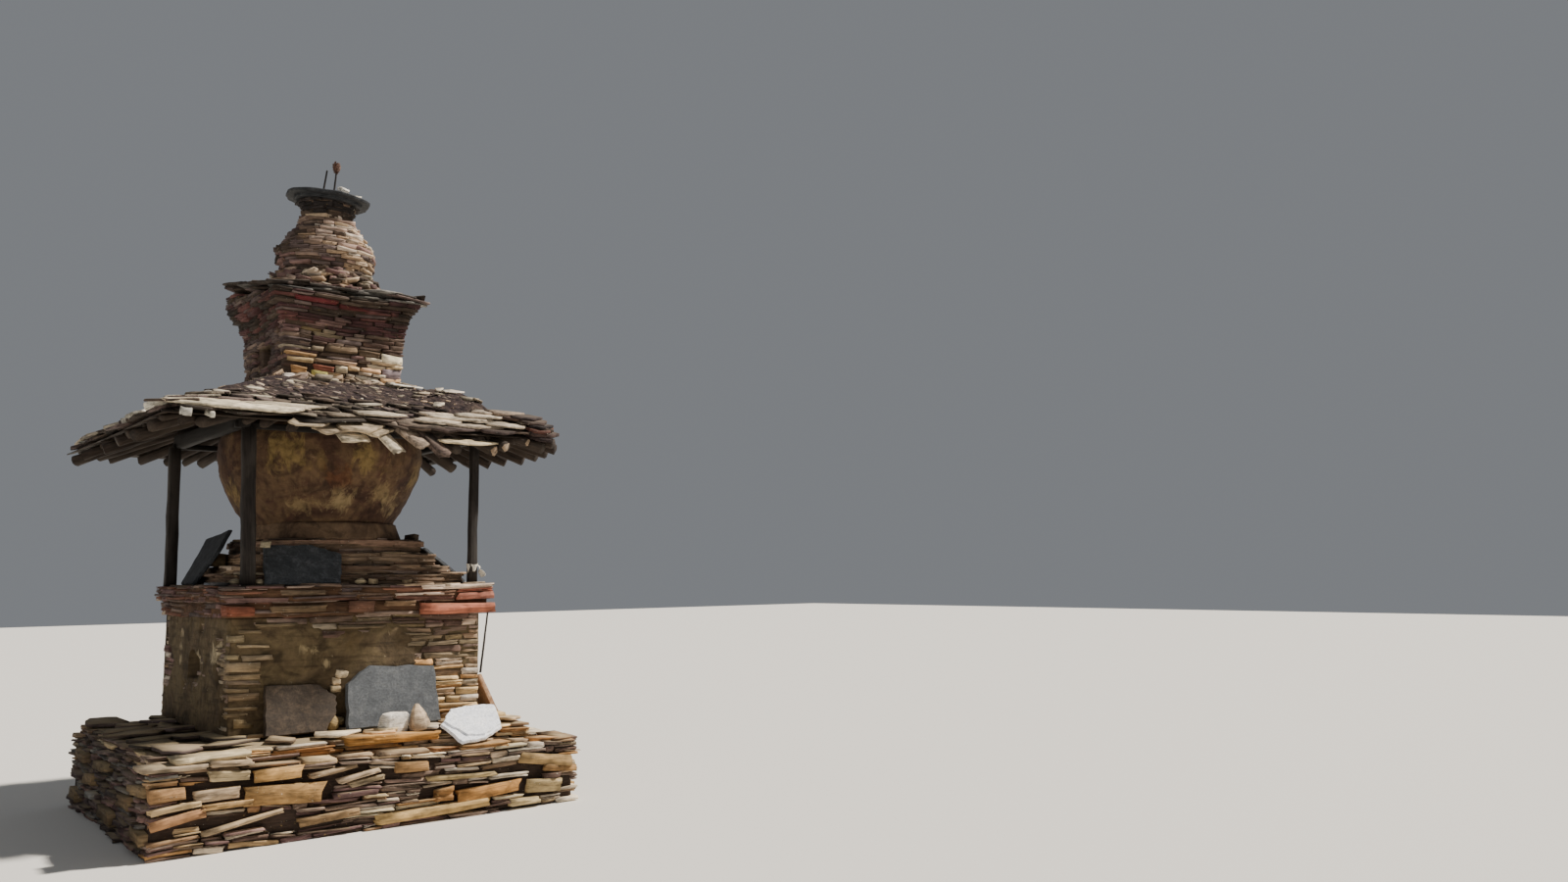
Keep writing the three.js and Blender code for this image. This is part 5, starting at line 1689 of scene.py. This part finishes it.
def build_disc():
    """A round slate cap of two split layers, chipped at its rim."""
    disc = start_disc(42, 1.0)
    disc.name = "spire_cap_slate"
    draw = Random(231)
    for number, vertex in enumerate(disc.data.vertices):
        scale = np.interp(number / 3, range(15), DISC_RIM + (1,)) * DISC_RADIUS * draw.uniform(0.985, 1.01)
        vertex.co = (vertex.co.x * scale, vertex.co.y * scale, 0)
    open_piece()
    bpy.ops.transform.resize(value=(0.8, 0.8, 1))
    for rise, size in ((0.004, 1.03), (0.02, 1.0), (0.001, 1.19), (0.005, 1.03), (0.014, 1.01), (0.009, 0.97),
                       (0.003, 0.93)):
        draw_out((0, 0, rise), (size, size, 1))
    turn_outward()
    roughen(disc, (0.003, 0.003, 0.0015), 232)
    tilt = Matrix.Rotation(DISC_TILT, 3, Vector((-DISC_DOWNHILL[1], DISC_DOWNHILL[0], 0)))
    for vertex in disc.data.vertices:
        vertex.co = tilt @ vertex.co + Vector((*SPIRE_MIDDLE, DISC_FOOT))
    own_places(disc)
    keep_piece(disc, "black_slate", "dark_slate", "spire_disc")

    heap = new_heap(233)
    for shape, along, across, rise, size, turn, tip, colour in metres((
            (BLOCKS[6], 180, -150, 26, (85, 60, 66), 300, 200, "#f4efe4"),
            (FLAGS[2], 255, -100, 6, (120, 60, 16), -400, 250, "#e9e2d2"),
            (BLOCKS[1], -20, 50, 12, (90, 70, 30), 900, 100, "#7d6f5b"),
            (BLOCKS[2], 50, -60, 10, (70, 60, 28), 2100, 100, "#8c7c64"),
            (LUMPS[1], -80, -20, 12, (70, 60, 30), 900, 100, "#6f6250"))):
        lay(heap, shape, size, on_disc(along, across, rise), turned(turn, tip), colour)
    make_piece("spire_cap_loose_stones", heap, "chips", "white_stone")


def own_places(piece):
    """Gives a piece that is modelled in place the same attributes as a laid stone, in white."""
    points = np.array([vertex.co for vertex in piece.data.vertices])
    keep_places(piece.data, np.ones((len(points), 4)), points)


# Slabs that lean on the walls or lie loose

SLABS = metres((
    # name, node, slot, finish, outline, thickness, where it leans or None: foot, floor, edge and the edge's
    # height, then its lean in degrees, its place along and its side
    ("large_slate_slab", "slab_large", "dark_slate", "slate",
     ((0, 0), (720, 8), (704, 440), (200, 470), (20, 340)), 38, None, 17.0, -161, "front"),
    ("brown_slab", "slab_brown", "wall_stone", "brown_slab",
     ((0, 0), (430, 0), (505, 120), (520, 250), (400, 345), (20, 360)), 40, None, 16.0, -722,
     "front"),
    ("corner_slab", "slab_corner", "wall_stone", "cream_slab",
     ((0, 0), (420, 0), (300, 200), (30, 360)), 36, None, 25.0, -925, "right"),
    ("ledge_slab", "slab_ledge", "pale_slate", "pale_slab",
     ((110, 20), (300, 40), (468, 140), (492, 372), (330, 390), (141, 370), (0, 220)),
     26, (1545, 500, 1380, 630), None, 420, "front"),
    ("ledge_slab_leaf", "slab_ledge", "pale_slate", "pale_slab",
     ((160, 75), (300, 66), (462, 160), (484, 366), (330, 384), (120, 362), (30, 240)),
     13, (1561, 0.5205, 1396, 0.6505), None, 420, "front"),
    ("upper_front_slab", "slab_upper_front", "dark_slate", "dark_slate",
     ((20, 0), (565, 0), (640, 310), (440, 410), (85, 405)), 26,
     (925, 1683, 672, 1930), None, -740, "front"),
    ("upper_right_slab", "slab_upper_right", "dark_slate", "dark_slate",
     ((0, 0), (380, 0), (350, 400), (160, 395), (30, 120)), 26,
     (925, 1683, 672, 1930), None, -650, "right"),
    ("upper_left_slab", "slab_upper_left", "dark_slate", "black_slate",
     ((150, 0), (500, 0), (600, 300), (535, 497), (3, 424), (70, 290)), 28,
     (918, 1683, None, 30.0), None, -640, "left"),
))


def slab_place(side, out, along, z):
    """A point by its distance from the middle, its way along a side and its height."""
    return {"front": (along, -out, z), "right": (out, along, z), "left": (-out, -along, z)}[side]


def model_slab(name, outline, thick, seed, point_at):
    """A broken flat slab: an outline with chipped edges, drawn out to its thickness in two layers."""
    pieces = 5
    count = len(outline) * pieces
    slab = start_disc(count, 1)
    slab.name = name
    draw = Random(seed)
    middle = Vector((sum(p[0] for p in outline), sum(p[1] for p in outline))) / len(outline)
    for number in range(count):
        start, end = Vector(outline[number // pieces]), Vector(outline[(number // pieces + 1) % len(outline)])
        point = start.lerp(end, (number % pieces) / pieces)
        chip = draw.uniform(-0.012, 0.004) if number % pieces else -0.004
        point += (point - middle).normalized() * chip
        slab.data.vertices[number].co = (point.x, point.y, 0)
    open_piece()
    for share, size in ((0.2, 1.008), (0.35, 0.996), (0.1, 0.988), (0.35, 0.985)):
        draw_out((0, 0, thick * share), (size, size, 1))
    bpy.ops.mesh.poke()
    bpy.ops.mesh.subdivide(number_cuts=3)
    turn_outward()
    roughen(slab, (0.0015, 0.0015, 0.0), seed + 1)
    for vertex in slab.data.vertices:
        u, v, lift = vertex.co
        if lift > thick * 0.9:
            lift += 0.0022 * ripple(seed, 7, u, v) + 0.0012 * ripple(seed, 23, u, v)
        vertex.co = point_at(u, v, lift)
    return slab


def build_slabs():
    for number, (name, node, slot, finish, outline, thick, lean, degrees, along, side) in enumerate(SLABS):
        if lean is None:
            slope = radians(degrees)
            height = max(v for u, v in outline)
            lean = (BASE_HALF + height * sin(slope), LEDGE_TOP, BASE_HALF, LEDGE_TOP + height * cos(slope))
        foot, floor, edge, edge_z = lean
        if edge is None:
            slope = radians(edge_z)
            edge, edge_z = foot - sin(slope), floor + cos(slope)
        long = hypot(edge - foot, edge_z - floor)
        up = ((edge - foot) / long, (edge_z - floor) / long)

        def point_at(u, v, lift):
            return slab_place(side, foot + up[0] * v + up[1] * lift, along + u,
                              floor + up[1] * v - up[0] * lift)

        slab = model_slab(name, outline, thick, 301 + number, point_at)
        own_places(slab)
        if side == "left":
            open_piece()
            turn_outward()
        keep_piece(slab, finish, slot, node)


# Small stones left about: shape, place, size, turn, tip and colour
LOOSE_STONES = metres((
    (LUMPS[0], (-235, -1010, 690), (100, 80, 125), 200, 100, "#cdb07c"),
    (BLOCKS[1], (-190, -965, 700), (100, 60, 60), 100, 100, "#d8c59a"),
    (BLOCKS[3], (-155, -946, 1035), (85, 50, 55), 500, 300, "#d9c4a2"),
    (BLOCKS[5], (-195, -944, 985), (60, 50, 45), 200, 400, "#cdb795"),
    (BLOCKS[1], (-200, -948, 930), (75, 50, 50), 0, 100, "#c9b28c"),
    (LUMPS[1], (-880, -800, 1712), (90, 80, 55), 600, 0, "#b8a98c"),
    (LUMPS[0], (-735, -860, 1710), (80, 70, 50), 900, 0, "#c4b596"),
    (BLOCKS[2], (-660, -720, 1985), (60, 50, 50), 600, 100, "#c9bb9c"),
    (LUMPS[1], (-20, -905, 1708), (90, 70, 50), 300, 0, "#cbb894"),
    (BLOCKS[4], (75, -900, 1706), (70, 55, 42), 800, 100, "#bda785"),
    (BLOCKS[0], (330, -925, 1704), (70, 50, 34), 400, 100, "#8f7c62"),
    (FLAGS[4], (-950, -770, 1700), (200, 150, 22), 500, 50, "#4c4b4d"),
    (FLAGS[2], (-950, -560, 1698), (220, 150, 20), 1300, 50, "#565a61"),
    (BLOCKS[3], (600, -340, 2062), (240, 50, 50), 1500, 100, "#54473b"),
    (BLOCKS[2], (770, -860, 672), (160, 120, 50), 300, 50, "#d2bd92"),
    (BLOCKS[4], (950, -1130, 662), (200, 140, 40), 200, 50, "#c5a877"),
    (BLOCKS[0], (50, -1300, 648), (160, 100, 26), 200, 50, "#c8b48e")))


def build_loose_stones():
    """The broken white stones on the ledge and the small stones left about on the cornice."""
    heap = new_heap(321)
    middle, (wide, deep, high) = span_of("stone_white")
    lay(heap, SHARDS[0], (0.245, 0.13, high + 0.03), middle, turned(0.15, 0.12), "#f0e9dc")
    make_piece("white_stone", heap, "chips", "white_stone", "stone_white")
    heap = new_heap(322)
    (x, y, z), (wide, deep, high) = span_of("stone_pointed")
    lay(heap, SHARDS[1], (0.16, 0.13, high + 0.02), (x - 0.005, y, z), turned(0.2, -0.1, -0.1), "#dcc3a4")
    make_piece("pointed_stone", heap, "chips", "white_stone", "stone_pointed")
    heap = new_heap(323)
    middle, (wide, deep, high) = span_of("wedge_stone")
    lay(heap, BLOCKS[3], (deep, wide, high), middle, turned(pi / 2), "#84745a")
    make_piece("wedge_stone_block", heap, "wall", "wall_stone", "wedge_stone")

    heap = new_heap(324)
    for shape, place, size, turn, tip, colour in LOOSE_STONES:
        lay(heap, shape, size, place, turned(turn, tip), colour)
    make_piece("loose_small_stones", heap, "chips", "wall_stone")


# Sticks and cloth

def lay_stick(name, start, end, thick, node, seed):
    heap = new_heap(seed)
    lay_between(heap, POLES[seed % 3], start, end, thick, thick, "#6f665c")
    make_piece(name, heap, "post", "dark_wood", node)


def model_strip(name, path, width, thick):
    """A strip of thin cloth that follows a path: each station is a middle and the way its width runs."""
    steps = len(path)
    bpy.ops.mesh.primitive_grid_add(x_subdivisions=steps - 1, y_subdivisions=6, size=1)
    strip = bpy.context.object
    strip.name = name
    for vertex in strip.data.vertices:
        station = round((vertex.co.x + 0.5) * (steps - 1))
        middle, run = path[station]
        vertex.co = Vector(middle) + Vector(run) * vertex.co.y * width
    solid = strip.modifiers.new("thickness", "SOLIDIFY")
    solid.thickness = thick
    solid.offset = 0
    bpy.ops.object.modifier_apply(modifier="thickness")
    bpy.ops.object.shade_smooth()
    return strip


def build_cloth():
    middle = Vector(span_of("post_cloth")[0])
    path = []
    for i in range(61):
        turn = i / 60 * 2.1 * tau
        radius = 0.036 + 0.004 * sin(i * 0.9) + 0.003 * sin(i * 2.3) + 0.003 * (i > 30)
        height = 0.006 * sin(i * 0.35) + (0.008 if i > 30 else -0.006)
        path.append((middle + Vector((radius * cos(turn), radius * sin(turn), height)),
                     Vector((0.25 * cos(turn + 0.6), 0.25 * sin(turn + 0.6), 0.94))))
    band = model_strip("post_cloth_band", path, 0.058, 0.0022)
    keep_piece(band, "white_cloth", "white_cloth", "post_cloth")
    path = []
    for i in range(33):
        s = i / 32
        path.append((middle + Vector((0.044 + 0.026 * s + 0.007 * sin(s * 9), -0.014 - 0.034 * s,
                                      0.018 - 0.085 * s ** 1.4)),
                     Vector((0.55 * sin(s * 6), 0.75, 0.3 * cos(s * 4))).normalized()))
    tail = model_strip("post_cloth_tail", path, 0.05, 0.0022)
    keep_piece(tail, "white_cloth", "white_cloth", "post_cloth")

    middle = Vector(span_of("finial_cloth")[0])
    path = []
    for i in range(91):
        s = i / 90
        turn = s * 3.6 * tau
        radius = (0.011 + 0.015 * sin(pi * min(1, s * 1.05)) ** 0.7) * (1 + 0.22 * sin(i * 1.7))
        path.append((middle + Vector((radius * cos(turn), radius * sin(turn), -0.034 + 0.068 * s)),
                     Vector((0.45 * cos(turn + 1.2), 0.45 * sin(turn + 1.2), 0.8)).normalized()))
    wad = model_strip("finial_cloth_wad", path, 0.044, 0.002)
    keep_piece(wad, "brown_cloth", "brown_cloth", "finial_cloth")


def build_floor():
    bpy.ops.mesh.primitive_plane_add(size=90, location=(0, 0, 0))
    floor = bpy.context.object
    floor.name = "floor"
    material = bpy.data.materials.new("pale_floor")
    material.use_nodes = True
    surface = material.node_tree.nodes["Principled BSDF"]
    surface.inputs["Base Color"].default_value = linear("#d9d6cf")
    surface.inputs["Roughness"].default_value = 0.95
    floor.data.materials.append(material)


build_ledge()
build_base()
build_cornice()
build_steps()
build_dome()
build_posts()
build_rafters()
build_slates()
build_roof_earth()
build_head()
build_cap()
build_spire()
build_slabs()
build_loose_stones()
lay_stick("finial_left_stick", on_disc(-0.055, 0, -0.02), on_disc(-0.02, 0, 0.25), 0.018,
          "finial_stick_left", 331)
lay_stick("finial_right_stick", on_disc(0.038, 0, -0.02), on_disc(0.062, 0, 0.226), 0.018,
          "finial_stick_right", 332)
lay_stick("corner_pole", (0.962, -0.903, 0.972), (1.005, -0.925, 1.455), 0.018, "corner_stick", 333)
build_cloth()
build_floor()
